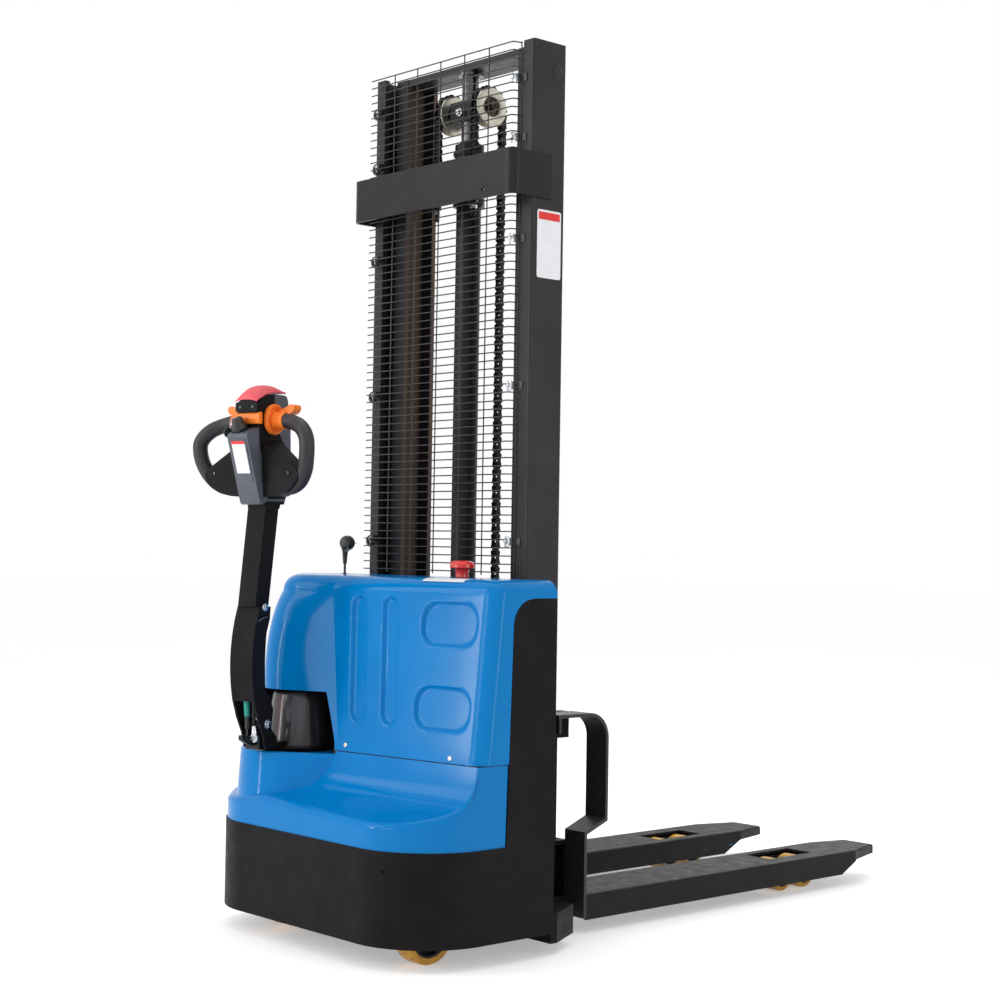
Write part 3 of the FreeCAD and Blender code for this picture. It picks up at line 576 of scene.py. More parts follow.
def slot_depth(x, z):
    """How far the two grooves and two hand-sized recesses are pressed into the face."""
    deepest = 0
    groove_half, recess_half, corner = 21, 77, 38
    for foot in (33, 127):
        middle = foot - 27 * (z - 485) / 277
        down = max(508 - z, z - 740, 0)
        away = math.hypot(x - middle, down) - groove_half
        deepest = max(deepest, 8 * step(-away, -4, 5))
    for low, high in ((484, 575), (663, 755)):
        out_x = max(abs(x - 276) - recess_half + corner, 0)
        out_z = max(abs(z - (low + high) / 2) - (high - low) / 2 + corner, 0)
        away = math.hypot(out_x, out_z) - corner
        deepest = max(deepest, 8.5 * step(-away, -3.5, 5))
    return deepest


def step(value, low, high):
    t = max(0, min(1, (value - low) / (high - low)))
    return t * t * (3 - 2 * t)


def spread(a, b, steps, outward):
    return [(a.lerp(b, k / steps), outward) for k in range(steps)]


def upper_row(z):
    plan = plan_points(z)
    right = Vector((1, 0))
    rear = max(plate_front(z), plan["right_bend"][0][0].y + 2)
    row = spread(Vector((body_half, rear)), plan["right_bend"][0][0], 8, right)
    row += plan["right_bend"]
    row += [(p - outward * slot_depth(p.x, z), outward) for p, outward in plan["face"]]
    row += plan["rest"]
    left_start = plan["rest"][-1][0]
    row += [(left_start.lerp(Vector((-body_half, rear)), k / 8), -right) for k in range(1, 9)]
    return row


def upper_cover():
    mesh = bmesh.new()
    join_z = 767.5
    heights = [seam_z + 2] + [seam_z + 4 + 345.8 * k / 112 for k in range(113)] + [join_z]
    previous = None
    for z in heights:
        row = [mesh.verts.new(at(p.x, p.y, z)) for p, _ in upper_row(z)]
        if previous:
            for a, b, c, d in zip(previous, previous[1:], row[1:], row):
                mesh.faces.new([a, b, c, d])
        previous = row
    middle = upper_row(join_z)
    right = Vector((1, 0))
    back = Vector((0, 1))
    rear_left, rear_right = Vector((-body_half, -1)), Vector((body_half, -1))
    loop = middle + spread(middle[-1][0], rear_left, 6, -right)[1:] + [(rear_left, -right)]
    loop += spread(rear_left, rear_right, 40, back)[1:]
    loop += spread(rear_right, middle[0][0], 6, right)
    first = previous
    rows = [(join_z, 0)]
    rows += [(edge_z + edge_radius * aim.y, edge_radius * (1 - aim.x))
        for aim in fan(0, math.pi / 2, 8)]
    previous = None
    for z, inset in rows:
        lean = face_lean * (z - join_z)
        ring = []
        for i, (p, n) in enumerate(loop):
            shifted = p - n * inset + Vector((0, lean * (1 if n.y < -0.3 else 0)))
            if n.y > 0.9:
                shifted = Vector((p.x * (body_half - inset) / body_half, p.y))
            if previous is None and i < len(first):
                ring.append(first[i])
            else:
                ring.append(mesh.verts.new(at(shifted.x, shifted.y, z)))
        if previous:
            stitch(mesh, previous, ring)
        previous = ring
    mesh.faces.new(previous)
    bmesh.ops.remove_doubles(mesh, verts=mesh.verts, dist=1e-5)
    bmesh.ops.recalc_face_normals(mesh, faces=mesh.faces)
    shell("upper_cover_skin", mesh, 0.004, [window_cutter()], "upper_cover")


def window_cutter():
    corners = [(-345, 380), (-21, 380), (-21, 417), (-62, 545), (-345, 545)]
    outline = rounded_polygon(corners, [0, 0, 0, 5, 5])
    form = Form()
    form.slab([(p.x, -600, p.y) for p in outline], (0, 440, 0), 0)
    return form.done("window_cutter", black_inside, None)


def shell(name, mesh, thickness, cutters, node):
    """A painted skin, black inside, with openings cut through it."""
    for face in mesh.faces:
        face.smooth = True
    obj = settle(as_object(name, mesh), [blue_gloss, black_inside], None)
    wall = obj.modifiers.new("wall", "SOLIDIFY")
    wall.thickness = thickness
    wall.offset = -1
    wall.material_offset = 1
    wall.material_offset_rim = 0
    for cutter in cutters:
        cut = obj.modifiers.new(cutter.name, "BOOLEAN")
        cut.object = cutter
        cut.operation = "DIFFERENCE"
        cut.solver = "EXACT"
    bpy.context.view_layer.update()
    seen = obj.evaluated_get(bpy.context.evaluated_depsgraph_get())
    obj.data, mesh = bpy.data.meshes.new_from_object(seen), bmesh.new()
    obj.modifiers.clear()
    mesh.from_mesh(obj.data)
    crease_mesh(mesh)
    mesh.to_mesh(obj.data)
    mesh.free()
    for cutter in cutters:
        bpy.data.objects.remove(cutter, do_unlink=True)
    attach(obj, "chassis")
    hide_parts(node)


upper_cover()


# ---- lower cover ----
def seam_y(x):
    """Y of the seam between the covers: the face, then a blend to the left side."""
    bend_x, left_x, left_y, left_run = -150, -340, -180, 57
    if x > bend_x:
        return face_line(x)
    if x > left_x:
        share = (bend_x - x) / (bend_x - left_x)
        return face_line(bend_x) * (1 - share) + left_y * share
    return left_y + 8 * (left_x - x) / left_run


def tread_z(x, y):
    """Height of the stepped top of the lower cover: a ramp, and a steep rise at the seam."""
    forward = max(0, seam_y(x) - y)
    low_z, ramp, ramp_run, wall, wall_run = 296, 45, 165, 76, 14
    return low_z + ramp * max(0, 1 - forward / ramp_run) ** 1.15 + wall * math.exp(-forward / wall_run)


def lower_cover():
    half, front, radius, foot_z = 397, -389, 179, 245
    side = spread(Vector((half, -141)), Vector((half, front + radius)), 14, Vector((1, 0)))
    corner = Vector((half - radius, front + radius))
    side += [(corner + aim * radius, aim) for aim in fan(0, -math.pi / 2, 48)]
    other = [(Vector((-p.x, p.y)), Vector((-n.x, n.y))) for p, n in reversed(side)]
    plan = side + spread(side[-1][0], other[0][0], 90, Vector((0, -1)))[1:] + other
    mesh = bmesh.new()
    columns = []
    for p, n in plan:
        forward = seam_y(p.x) - p.y
        walled = forward <= 0.5
        turn_r = 0 if walled else min(13, forward * 0.4)
        inner = p - n * turn_r
        top = seam_z if walled else tread_z(inner.x, inner.y)
        column = []
        wall_top = top - turn_r
        for k in range(15):
            z = foot_z + (wall_top - foot_z) * k / 14
            rear = plate_front(z) if abs(abs(p.x) - half) < 0.01 and p.y > -142 else p.y
            column.append(at(p.x, rear, z))
        for aim in fan(0, math.pi / 2, 7)[1:]:
            spot = p - n * (turn_r * (1 - aim.x))
            drop = turn_r * (1 - aim.y)
            z = top - drop if walled else tread_z(spot.x, spot.y) - drop
            column.append(at(spot.x, spot.y, min(z, seam_z)))
        target = seam_y(inner.x)
        for k in range(1, 41):
            t = 1 - (1 - k / 40) ** 1.6
            y = inner.y if walled else inner.y + (target - inner.y) * t
            z = top if walled else tread_z(inner.x, y)
            column.append(at(inner.x, y, z))
        columns.append([mesh.verts.new(v) for v in column])
    for a, b in zip(columns, columns[1:]):
        for p, q, r, s in zip(a, b, b[1:], a[1:]):
            mesh.faces.new([p, q, r, s])
    bmesh.ops.remove_doubles(mesh, verts=mesh.verts, dist=2e-5)
    bmesh.ops.recalc_face_normals(mesh, faces=mesh.faces)
    if sum(f.normal.z for f in mesh.faces if f.calc_center_median().z < 0.4) < 0:
        bmesh.ops.reverse_faces(mesh, faces=mesh.faces)
    bore = Form()
    bore.lathe((steer[0], steer[1], 250), (0, 0, 1), [(0, 0), (130, 0), (130, 300), (0, 300)], 64)
    shelf = Form()
    shelf.block((-200, -290, 409.8), (-17.5, -150, 440), 0)
    cutters = [bore.done("bore", black_inside, None), shelf.done("shelf", black_inside, None)]
    shell("lower_cover_skin", mesh, 0.003, cutters, "lower_cover")


def motor_bulge():
    """The tapered housing around the motor, with one straight flank back to the seam's crease."""
    centre = Vector(steer)
    crease = Vector((crease_foot_x, face_line(crease_foot_x)))

    def ring(z, radius, inset):
        away = crease - centre
        swing = math.acos((radius - inset) / away.length)
        bearing = math.atan2(away.y, away.x)
        start, finish = bearing - swing, bearing + swing - 2 * math.pi
        line = [centre + aim * (radius - inset) for aim in fan(start, finish - start, 120)]
        tip = crease - away.normalized() * inset
        plan = [tip.lerp(line[0], k / 12) for k in range(12)] + line + [line[-1].lerp(tip, k / 6)
            for k in range(1, 6)]
        return [(q.x, q.y, z) for q in plan]

    edge = 5.5
    rows = [ring(z, 147 - 11 * (z - 245) / 165, 0) for z in (258, 300, 340, 375, 404)]
    rows += [ring(bulge_top_z - edge + edge * aim.y, 136.4, edge * (1 - aim.x))
        for aim in fan(0, math.pi / 2, 5)[1:]]
    inner = []
    for radius, z in ((126, bulge_top_z), (124.3, bulge_top_z - 1), (124, 407), (124, 258)):
        spots = [centre + (Vector(q[:2]) - centre).normalized() * radius for q in rows[-1]]
        inner.append([(spot.x, spot.y, z) for spot in spots])
    Form().take(skinned(rows + inner, True)).done("motor_bulge", blue_gloss, "chassis", "blue_cover")
    Form().lathe((steer[0], steer[1], 0), (0, 0, 1), [(121, 250), (123.9, 250), (123.9, 404),
        (121, 404)], 96, True).done("motor_well", black_inside, "chassis")


lower_cover()
motor_bulge()


# ---- small things on the covers ----
face_out = Vector((face_yaw, -1, face_lean)).normalized()


def ribbon(form, line, low, high, thick):
    """A thin upright wall along plan points with outward normals."""
    rows = []
    for p, n in line:
        inner = p - n * thick
        rows.append([(p.x, p.y, low), (p.x, p.y, high), (inner.x, inner.y, high),
            (inner.x, inner.y, low)])
    form.take(skinned(rows))


def cover_trim():
    line = [(p - n * 4.6, n) for p, n in upper_row(seam_z + 3)[2:176]]
    form = Form()
    ribbon(form, line, 404, 430, 3)
    form.done("seam_backing", black_inside, "chassis")
    form = Form()
    for x, z in ((7, 432), (314, 429)):
        form.screw((x, face_line(x, z), z), face_out, 5.6, 3.2)
    for way in (1, -1):
        form.screw((way * 398.2, -153, 427), (way, 0, 0), 5.6, 1.7)
    form.done("cover_screws", screw_white, "chassis")


cover_trim()


def stop_and_plug():
    foot = (153, -60, cover_top_z)
    Form().lathe(foot, (0, 0, 1), [(0, -1), (19, -1), (19, 0.6), (18.2, 1.2), (0, 1.2)],
        40).done("stop_collar", black_case, "chassis")
    Form().lathe(foot, (0, 0, 1), [(0, 0), (15.2, 0), (14.6, 8), (15.2, 15), (17, 19.5),
        (22, 20.5), (26.5, 21.2), (28, 23), (28, 28), (27, 32), (24.5, 35.4), (20, 37.4), (14, 38.4),
        (6, 38.8), (0, 38.9)], 64).done("stop_head", stop_red, "chassis", "stop_red", ("stop_button",))
    x, y = -280, -60
    form = Form()
    form.lathe((x, y, 805.5), (0, 0, 1), [(0, 0), (6.5, 0), (6.5, 1.2), (5, 2.2), (0, 2.2)], 24)
    form.pipe([(x, y, cover_top_z), (x, y, 818), (x, y, 832)], 2.9, 14)
    neck = [(0, 830), (4.4, 830), (4.7, 831)]
    for k in range(5):
        z = 833 + 5.2 * k
        neck += [(5 + 0.45 * k, z), (5.1 + 0.45 * k, z + 3.4), (4.6 + 0.45 * k, z + 3.8),
            (4.6 + 0.45 * k, z + 4.8)]
    neck += [(7.5, 860), (8.2, 866), (0, 868)]
    form.lathe((x, y, 0), (0, 0, 1), neck, 28)
    aim = Vector((-0.4, 0.9, 0)).normalized()
    heart = Vector((-274, -60, 880))
    form.lathe(heart, aim, [(0, -11.5), (8, -11.2), (13, -9.5), (16.4, -6), (17.8, -1), (18, 4),
        (17.6, 9.4), (16.6, 11), (0, 11)], 48)
    grip = [(-289, 868), (-285.5, 858), (-274, 858), (-263, 866), (-259.5, 880), (-274, 880),
        (-289, 880)]
    form.slab([(p.x + 2.8, -66.5, p.y) for p in rounded_polygon(grip, [5, 3, 8, 6, 0, 0, 0], 3)],
        (-5.6, 13, 0), 2, 3)
    form.done("plug_body", cable_black, "chassis", "plug_black", ("charging_plug",))
    form = Form()
    side = Vector((aim.y, -aim.x, 0))
    for way in (-1, 1):
        start = heart + side * (way * 9.5) + aim * 10.5
        form.lathe(start, aim, [(0, 0), (2.4, 0), (2.4, 18), (1.6, 19.6), (0, 20)], 16)
    form.done("plug_pins", zinc, "chassis")


stop_and_plug()


def motor():
    heart = (*steer, 0)
    Form().lathe(heart, (0, 0, 1), [(0, 411), (76.8, 411), (77, 414), (75, 440), (71, 480),
        (67.2, 515), (64.5, 531), (62, 536.5), (57, 539.5), (48, 540), (0, 540)],
        128).done("motor_shell", motor_black, "drive_head", "motor_shroud", ("motor_cover",))
    Form().lathe(heart, (0, 0, 1), [(78.5, 408), (86, 408), (87, 410), (87, 415), (85, 417),
        (79, 417)], 96, True).done("motor_ring", dark_paint, "drive_head")


motor()


# ---- wheels ----
def wheel(name, node, body, centre, axis, radius, width, bore, tread):
    base = Vector(centre) - Vector(axis) * (width / 2)
    rim = radius - tread
    tyre = [(rim, 0.8), (rim + 1, 0), (radius - 4.5, 0), (radius - 1.5, 1.2), (radius - 0.3, 4),
        (radius, 8)]
    Form().lathe(base, axis, mirrored(tyre, width), 72, True).done(name + "_tyre", polyurethane, body,
        "polyurethane", (node,))
    web = min(14, width * 0.3)
    hub = [(bore, 1), (bore + 6, 1), (bore + 7, 2), (bore + 7, web * 0.6), (rim - 7, web),
        (rim - 5, 2), (rim, 1)]
    Form().lathe(base, axis, mirrored(hub, width), 56, True).done(name + "_hub", dark_paint, body)
    form = Form()
    for start, aim in ((base + Vector(axis) * 1.4, -Vector(axis)), (base + Vector(axis) * (width - 1.4),
            Vector(axis))):
        form.lathe(start, aim, [(bore + 0.2, 0), (bore + 5.6, 0), (bore + 5.6, 0.7), (bore + 0.2, 0.7)],
            32, True)
    form.done(name + "_bearings", zinc, body)


side_axis = Vector((math.cos(turn), math.sin(turn), 0))
wheel("drive", "drive_wheel", "drive_wheel_body", (steer[0], steer[1], 105), side_axis, 105, 70, 14, 18)
wheel("castor", "castor_wheel", "castor_wheel_body", (castor[0], castor_axle_y, 66), Vector((1, 0, 0)),
    66, 45, 7, 15)
for label, way in sides.items():
    for row, y in roller_rows.items():
        place = "%s_%s" % (label, row)
        wheel("roller_" + place, "load_roller_" + place, "load_roller_body_" + place,
            (way * roller_x, y, roller_radius), Vector((1, 0, 0)), roller_radius, 72, 8, 11)


def axle_ends():
    form = Form()
    for way in (-1, 1):
        for y in roller_rows.values():
            for out in (-1, 1):
                form.bolt((way * (roller_x + out * 48), y, roller_radius), (way * out, 0, 0), 16, 5)
    form.done("roller_axle_bolts", zinc, "chassis")


def castor_parts():
    form = Form()
    x, half, axle_z = castor[0], 35, 66
    for way in (-1, 1):
        outer = x + way * half
        cheek = rounded_polygon([(-286, 140), (-288, 62), (-264, 46), (-242, 60), (-214, 140)],
            [3, 16, 18, 16, 3])
        form.slab([(outer, p.x, p.y) for p in cheek], (-way * 7, 0, 0), 1.2)
    form.block((x - half, -286, 139), (x + half, -212, 148), 1.5)
    form.lathe((x, castor[1], 148), (0, 0, 1), [(0, 0), (34, 0), (36, 3), (36, 14), (33, 19), (28, 22),
        (28, 65), (0, 65)], 48)
    form.pipe([(x - half, castor_axle_y, axle_z), (x + half, castor_axle_y, axle_z)], 6.9, 20)
    form.done("castor_yoke", zinc, "castor_swivel", "dark_steel", ("castor_fork",))
    form = Form()
    for way in (1, -1):
        form.bolt((x + way * half, castor_axle_y, axle_z), (way, 0, 0), 17, 7)
    form.done("castor_axle_nuts", zinc, "castor_swivel")


castor_parts()


# ---- wire guard ----
def wire_guard():
    form, clips, dark = Form(), Form(), Form()
    wire, rows, pitch, low = 1.5, 66, 18.3, 819.5
    left, right, y = -273, 239.5, -7.5
    top = low + (rows - 1) * pitch
    for k in range(rows):
        z = low + k * pitch
        sway = 0.4 * math.sin(k * 2.3)
        form.pipe([(left, y, z), (-120, y + 0.2, z + sway * 0.3), (60, y - 0.2, z - sway * 0.2),
            (right - 9, y, z), (right - 3, y + 1.2, z), (right - 0.4, y + 5, z), (right + 3, 14, z)],
            wire, 6)
    for k in range(1, 7):
        x = left + 1.5 + 85.2 * k
        back = y + 2.6
        if k == 6:
            x, back = right + 5.2, 12.6
        form.pipe([(x, back, low - 7), (x, back, top + 2)], wire, 6)
    form.done("guard_wires", wire_black, "chassis", "guard_wire", ("wire_guard",), 80)
    open_loop = fan(math.radians(30), math.radians(300), 16)
    for z in (1929, 1794, 1567, 1237, 888):
        clips.block((229, -3, z - 12), (241.6, -0.8, z + 12), 0.8)
        clips.block((239.8, -3, z - 9), (242, 15, z + 9), 0.6)
        dark.block((239.8, 12.8, z - 9), (262, 15, z + 9), 0.6)
        clips.bolt((234.5, -3, z + 1), (0, -1, 0), 9, 3.6)
        dark.lathe((234.5, -0.8, z + 1), (0, 1, 0), [(0, 0), (3.5, 0), (3.5, 6), (0, 6)], 16)
        dark.pipe([(-259 + 10.5 * aim.x, 0.5, z - 2 + 10.5 * aim.y) for aim in open_loop], 4.4, 8)
        dark.block((-263, -3, z - 2), (-247, 14.5, z + 12), 2.5)
        clips.screw((-257, -3, z + 4), (0, -1, 0), 4.4, 2.4)
    clips.done("guard_clips", zinc, "chassis")
    dark.done("guard_p_clips", cable_black, "chassis")


wire_guard()


# ---- chains ----
def plate_outline(pitch, round_r, waist):
    """Half-turn ends joined by a waist, in the plane of a link."""
    points = []
    for side in (1, -1):
        points += [(side * (pitch / 2 + round_r * aim.x), side * round_r * aim.y)
            for aim in fan(math.radians(-60), math.radians(120), 5)]
        points.append((0, side * waist))
    return points


def chain(form, x, path):
    """Roller chain along joints in the plane of constant x."""
    for k, (a, b) in enumerate(zip(path, path[1:])):
        a, b = Vector(a), Vector(b)
        along = (b - a).normalized()
        across = Vector((-along.y, along.x))
        middle = (a + b) / 2
        gap = 6.9 if k % 2 else 4.9
        outline = plate_outline((b - a).length, 8.8, 5)
        for side in (-1, 1):
            spots = []
            for u, v in outline:
                p = middle + along * u + across * v
                spots.append((x + side * gap, p.x, p.y))
            form.slab(spots, (side * 1.7, 0, 0), 0)
        form.lathe((x - 4.7, a.x, a.y), (1, 0, 0), [(0, 0), (5.5, 0), (5.9, 0.5), (5.9, 8.9),
            (5.5, 9.4), (0, 9.4)], 12)
        form.lathe((x - 9.4, a.x, a.y), (1, 0, 0), [(0, 0), (2.8, 0), (2.8, 18.8), (0, 18.8)], 8)


def chains():
    pitch, low_z, anchor_z = 19.05, 330, 1698
    links, anchor_links, turns = round((sheave_z - low_z) / pitch), 11, 7
    fork_form, fixed_form = Form(), Form()
    for x in (-chain_x, chain_x):
        path = [(sheave_y + chain_radius, low_z + (sheave_z - low_z) * k / links)
            for k in range(links + 1)]
        path += [Vector((sheave_y, sheave_z)) + aim * chain_radius
            for aim in fan(0, math.pi, turns)[1:]]
        chain(fork_form, x, path)
        chain(fixed_form, x, [(sheave_y - chain_radius, anchor_z + (sheave_z - 2 - anchor_z) * k
            / anchor_links) for k in range(anchor_links + 1)])
    long_chain = fork_form.done("fork_side_chains", chain_steel, None, "chain_steel", ("fork_chains",),
        30)
    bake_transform(long_chain)
    short_chain = fixed_form.done("fixed_side_chains", chain_steel, None, "chain_steel",
        ("anchor_chains",), 30)
    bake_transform(short_chain)


chains()


# ---- mast fittings ----
def sheaves():
    for name, side in sides.items():
        flank = (side * chain_x - 12, sheave_y, sheave_z)
        disc = [(24, 0.6), (25, 0), (44.5, 0), (46, 1.2), (46, 3), (35.2, 3.6)]
        Form().lathe(flank, (1, 0, 0), mirrored(disc, 24), 72, True).done("sheave_%s_disc" % name,
            cream_zinc, "inner_mast", "sheave_zinc", ("sheave_" + name,))
        bearing = [(9.2, 3), (14, 3), (14.6, 4.5), (20, 4.5), (20.6, 2.6), (24, 2.6)]
        Form().lathe(flank, (1, 0, 0), mirrored(bearing, 24), 56, True).done(
            "sheave_%s_bearing" % name, brown_steel, "inner_mast")
    form = Form()
    for side in (-1, 1):
        end = (side * 80, sheave_y, sheave_z)
        form.lathe(end, (side, 0, 0), [(0, 0), (12.5, 0), (12.5, 1.4), (0, 1.4)], 32)
        form.lathe(end, (side, 0, 0), [(0, 0), (8.6, 0), (8.6, 5.5), (7.6, 6.6), (4.6, 6.6), (4.2, 2),
            (0, 1.6)], 28)
    form.done("sheave_axle_ends", brown_steel, "inner_mast")
    Form().bolt((0, 41, 1897), (0, -1, 0), 13, 6).done("yoke_bolt", zinc, "inner_mast")


def mast_fittings():
    form, socket_shade = Form(), Form()
    for side in (-1, 1):
        middle = (side * mast_side_x, 88, 1949)
        form.lathe(middle, (side, 0, 0), [(0, 0), (17.2, 0), (17.2, 0.5), (15.6, 0.7),
            (15.2, 0.25), (14.2, 0.25), (13.8, 1), (12.6, 1.8), (7.5, 2), (6.6, 1.2), (0, 1)], 48)
        # Black hexagons in the caps' dips: painted shade of the hex sockets.
        socket_shade.lathe(middle, (side, 0, 0), [(0, 1.1), (3.2, 1.1), (3.2, 1.3), (0, 1.3)], 6)
    form.done("roller_pin_caps", mast_paint, "chassis")
    socket_shade.done("roller_pin_sockets", black_inside, "chassis")
    form = Form()
    outline = rounded_polygon([(32, 1479), (105, 1479), (105, 1632), (32, 1632)], 6)
    form.slab([(mast_side_x, p.x, p.y) for p in outline], (0.5, 0, 0), 0)
    form.done("mast_sticker", label_white, "chassis")
    Form().slab([(283.4, 36, 1610), (283.4, 101, 1610), (283.4, 101, 1627), (283.4, 36, 1627)],
        (0.3, 0, 0), 0).done("mast_sticker_bar", label_red, "chassis")
    form = Form()
    for side in (-1, 1):
        x, y = side * chain_x, 32
        form.bolt((x, y, 1684), (0, 0, -1), 18, 9)
        form.bolt((x, y, 1668), (0, 0, -1), 16, 8, False)
        form.lathe((x, y, 1664), (0, 0, -1), [(0, 0), (5.2, 0), (5.2, 16), (4.4, 17.5), (0, 17.5)], 20)
    form.bolt((0, 36, 1690), (0, -1, 0), 13, 6)
    form.done("anchor_nuts", zinc, "chassis")
    Form().lathe((0, sheave_y, 1822), (0, 0, 1), [(20.3, 0), (24.5, 0), (25, 1), (25, 4), (23, 6.2),
        (20.6, 6.6)], 48, True).done("rod_wiper", cable_black, "chassis")


def hose():
    form = Form()
    line = spline([(52, 20, 240), (56, 26, 420), (50, 30, 560), (34, 34, 640), (30, 40, 700)], 8)
    form.pipe(line, 6.5, 12)
    form.done("lift_hose", cable_black, "chassis")


sheaves()
mast_fittings()
axle_ends()
hose()


# ---- tiller ----
def across(form, outline, half, edge=1.5, segments=3):
    """A block of the tiller from a (forward, height) outline, wide by half on each side."""
    form.slab([(-half, p[0], p[1]) for p in outline], (2 * half, 0, 0), edge, segments)


def oval(s, forward, z, reach, rise):
    return [(s, forward + reach * aim.x, z + rise * aim.y) for aim in circle(48)]


def on_console(d, lift=0):
    """Forward distance and height on the sloping front of the console, d below its top edge."""
    return 241 - 0.313 * d + 0.95 * lift, 1110 - 0.95 * d - 0.313 * lift


def console():
    form = Form(in_tiller)
    front = rounded_polygon([(164, 1000), (168, 971), (186.5, 961.5), (193, 966), (240.8, 1111),
        (238.5, 1118), (201, 1134), (180, 1060)], [0, 0, 3, 4, 5, 5, 3, 0], 3)
    across(form, front, 28.6, 4.5, 4)
    collar = rounded_polygon([(103, 986), (109, 971), (186, 970), (190, 1010), (166, 1012), (160, 990),
        (146, 980), (128, 981.5)], [3, 2, 2, 0, 0, 10, 10, 0], 4)
    across(form, collar, 30.5, 2.5, 3)
    back = [(152, 1210.6), (120, 1210.6), (110, 1208.5), (105, 1199), (94, 1130), (92, 1080),
        (99, 1086), (112, 1097), (124, 1110), (132, 1123), (141, 1150), (150, 1185)]
    across(form, rounded_polygon(back, [0, 0, 6, 6, 0, 1, 0, 0, 0, 0, 0, 0], 3), 31.2, 4, 3)
    form.done("tiller_console", grey_case, "tiller", "handle_plastic", ("tiller_head",))
    rim = Form(in_tiller)
    corners = rounded_polygon([(-22.5, 5), (22.5, 5), (22.5, 104), (-22.5, 104)], 5, 4)
    rim.slab([(p.x, *on_console(p.y, -0.4)) for p in corners], (0, on_console(0, 1.3)[0]
        - on_console(0)[0], on_console(0, 1.3)[1] - on_console(0)[1]), 0.7, 2)
    rim.done("console_panel", grey_case, "tiller")
    for name, look, low, high, half, lift in (("console_label", label_white, 9, 83, 18.6, 1),
            ("console_label_bar", label_red, 9, 16, 18.8, 1.5)):
        label = Form(in_tiller)
        corners = rounded_polygon([(-half, low), (half, low), (half, high), (-half, high)], 1.5, 3)
        label.slab([(p.x, *on_console(p.y, lift - 0.6)) for p in corners], (0, 0.57, -0.19), 0)
        label.done(name, look, "tiller")


def head_body():
    form = Form(in_tiller)
    outline = rounded_polygon([(109, 977), (168, 975), (172, 1000), (196, 1092), (201.5, 1140),
        (206, 1168), (206, 1188), (188, 1204), (153, 1211), (151, 1185), (142, 1150), (133, 1123),
        (112, 1096), (94, 1080), (108, 1050)], [0, 0, 0, 0, 0, 0, 8, 14, 0, 0, 0, 0, 0, 0, 0], 4)
    across(form, outline, 31, 4, 3)
    form.done("tiller_body", black_case, "tiller")
    form = Form(in_tiller)
    arch = [(31 - 62 * k / 12, 1194.5 - 7 * abs(1 - k / 6) ** 2) for k in range(13)]
    pane = [(-31, 1168.5)] + [(31, 1168.5)] + arch
    form.slab([(s, 212, z) for s, z in pane], (0, -7, 0), 1.6, 3)
    form.done("tiller_window", window_black, "tiller")
    # Black discs on the window's face stand for two dark pockets: painted shade.
    form = Form(in_tiller)
    for s in (-18, 18):
        form.lathe((s, 212, 1178.8), (0, 1, 0), [(0, 0.25), (3.9, 0.25), (4.1, 0), (4.1, -0.6),
            (0, -0.6)], 20)
    form.done("window_wells", black_inside, "tiller")
    # Small metal dots set off-centre in the pockets are painted glints; the two head screws follow.
    form = Form(in_tiller)
    for s in (-18, 18):
        form.lathe((s + 0.9, 212, 1178), (0, 1, 0), [(0, 0.7), (1.7, 0.6), (2.2, 0.2), (0, 0.2)], 16)
    for s in (-107, 107):
        form.screw((s, 193, 1032.6), (0, 1, 0), 3.4, 1.6)
    form.done("head_screws_and_glints", rod_steel, "tiller")
    form = Form(in_tiller)
    under = rounded_polygon([(110, 964), (108, 973), (170, 973), (168, 964)], 2, 2)
    across(form, under, 29.4, 1.5, 2)
    throat = rounded_polygon([(122, 954), (118, 966), (172, 966), (170.5, 954)], 2, 2)
    across(form, throat, 25.6, 1, 2)
    form.done("tiller_socket", black_case, "tiller")


def pad():
    low = spline([(213, 1191, 0), (205, 1196.5, 0), (195, 1201.8, 0), (182, 1208, 0), (168, 1212, 0),
        (148, 1215, 0), (128, 1216, 0), (112.5, 1215, 0)], 4)
    high = spline([(213.5, 1196, 0), (209.5, 1208, 0), (200, 1218, 0), (187, 1225.5, 0),
        (168, 1230.3, 0), (146, 1231.8, 0), (126, 1228, 0), (112, 1219, 0)], 4)
    rows = []
    count = len(low)
    for i, (b, t) in enumerate(zip(low, high)):
        arch = max(0, 1 - 6 * i / (count - 1))
        top, under = [], []
        for k in range(17):
            share = k / 8 - 1
            crown = 1 - abs(share) ** 2.3
            s = 31.2 * share
            top.append((s, b.x + (t.x - b.x) * crown, b.y + 2.2 + (t.y - b.y - 2.2) * crown))
            under.append((s, b.x + (t.x - b.x) * crown * arch, b.y - 0.8 + (t.y - b.y) * crown * arch))
        rows.append(top + under[::-1])
    Form(in_tiller).take(skinned(rows)).done("safety_pad", pad_red, "tiller")


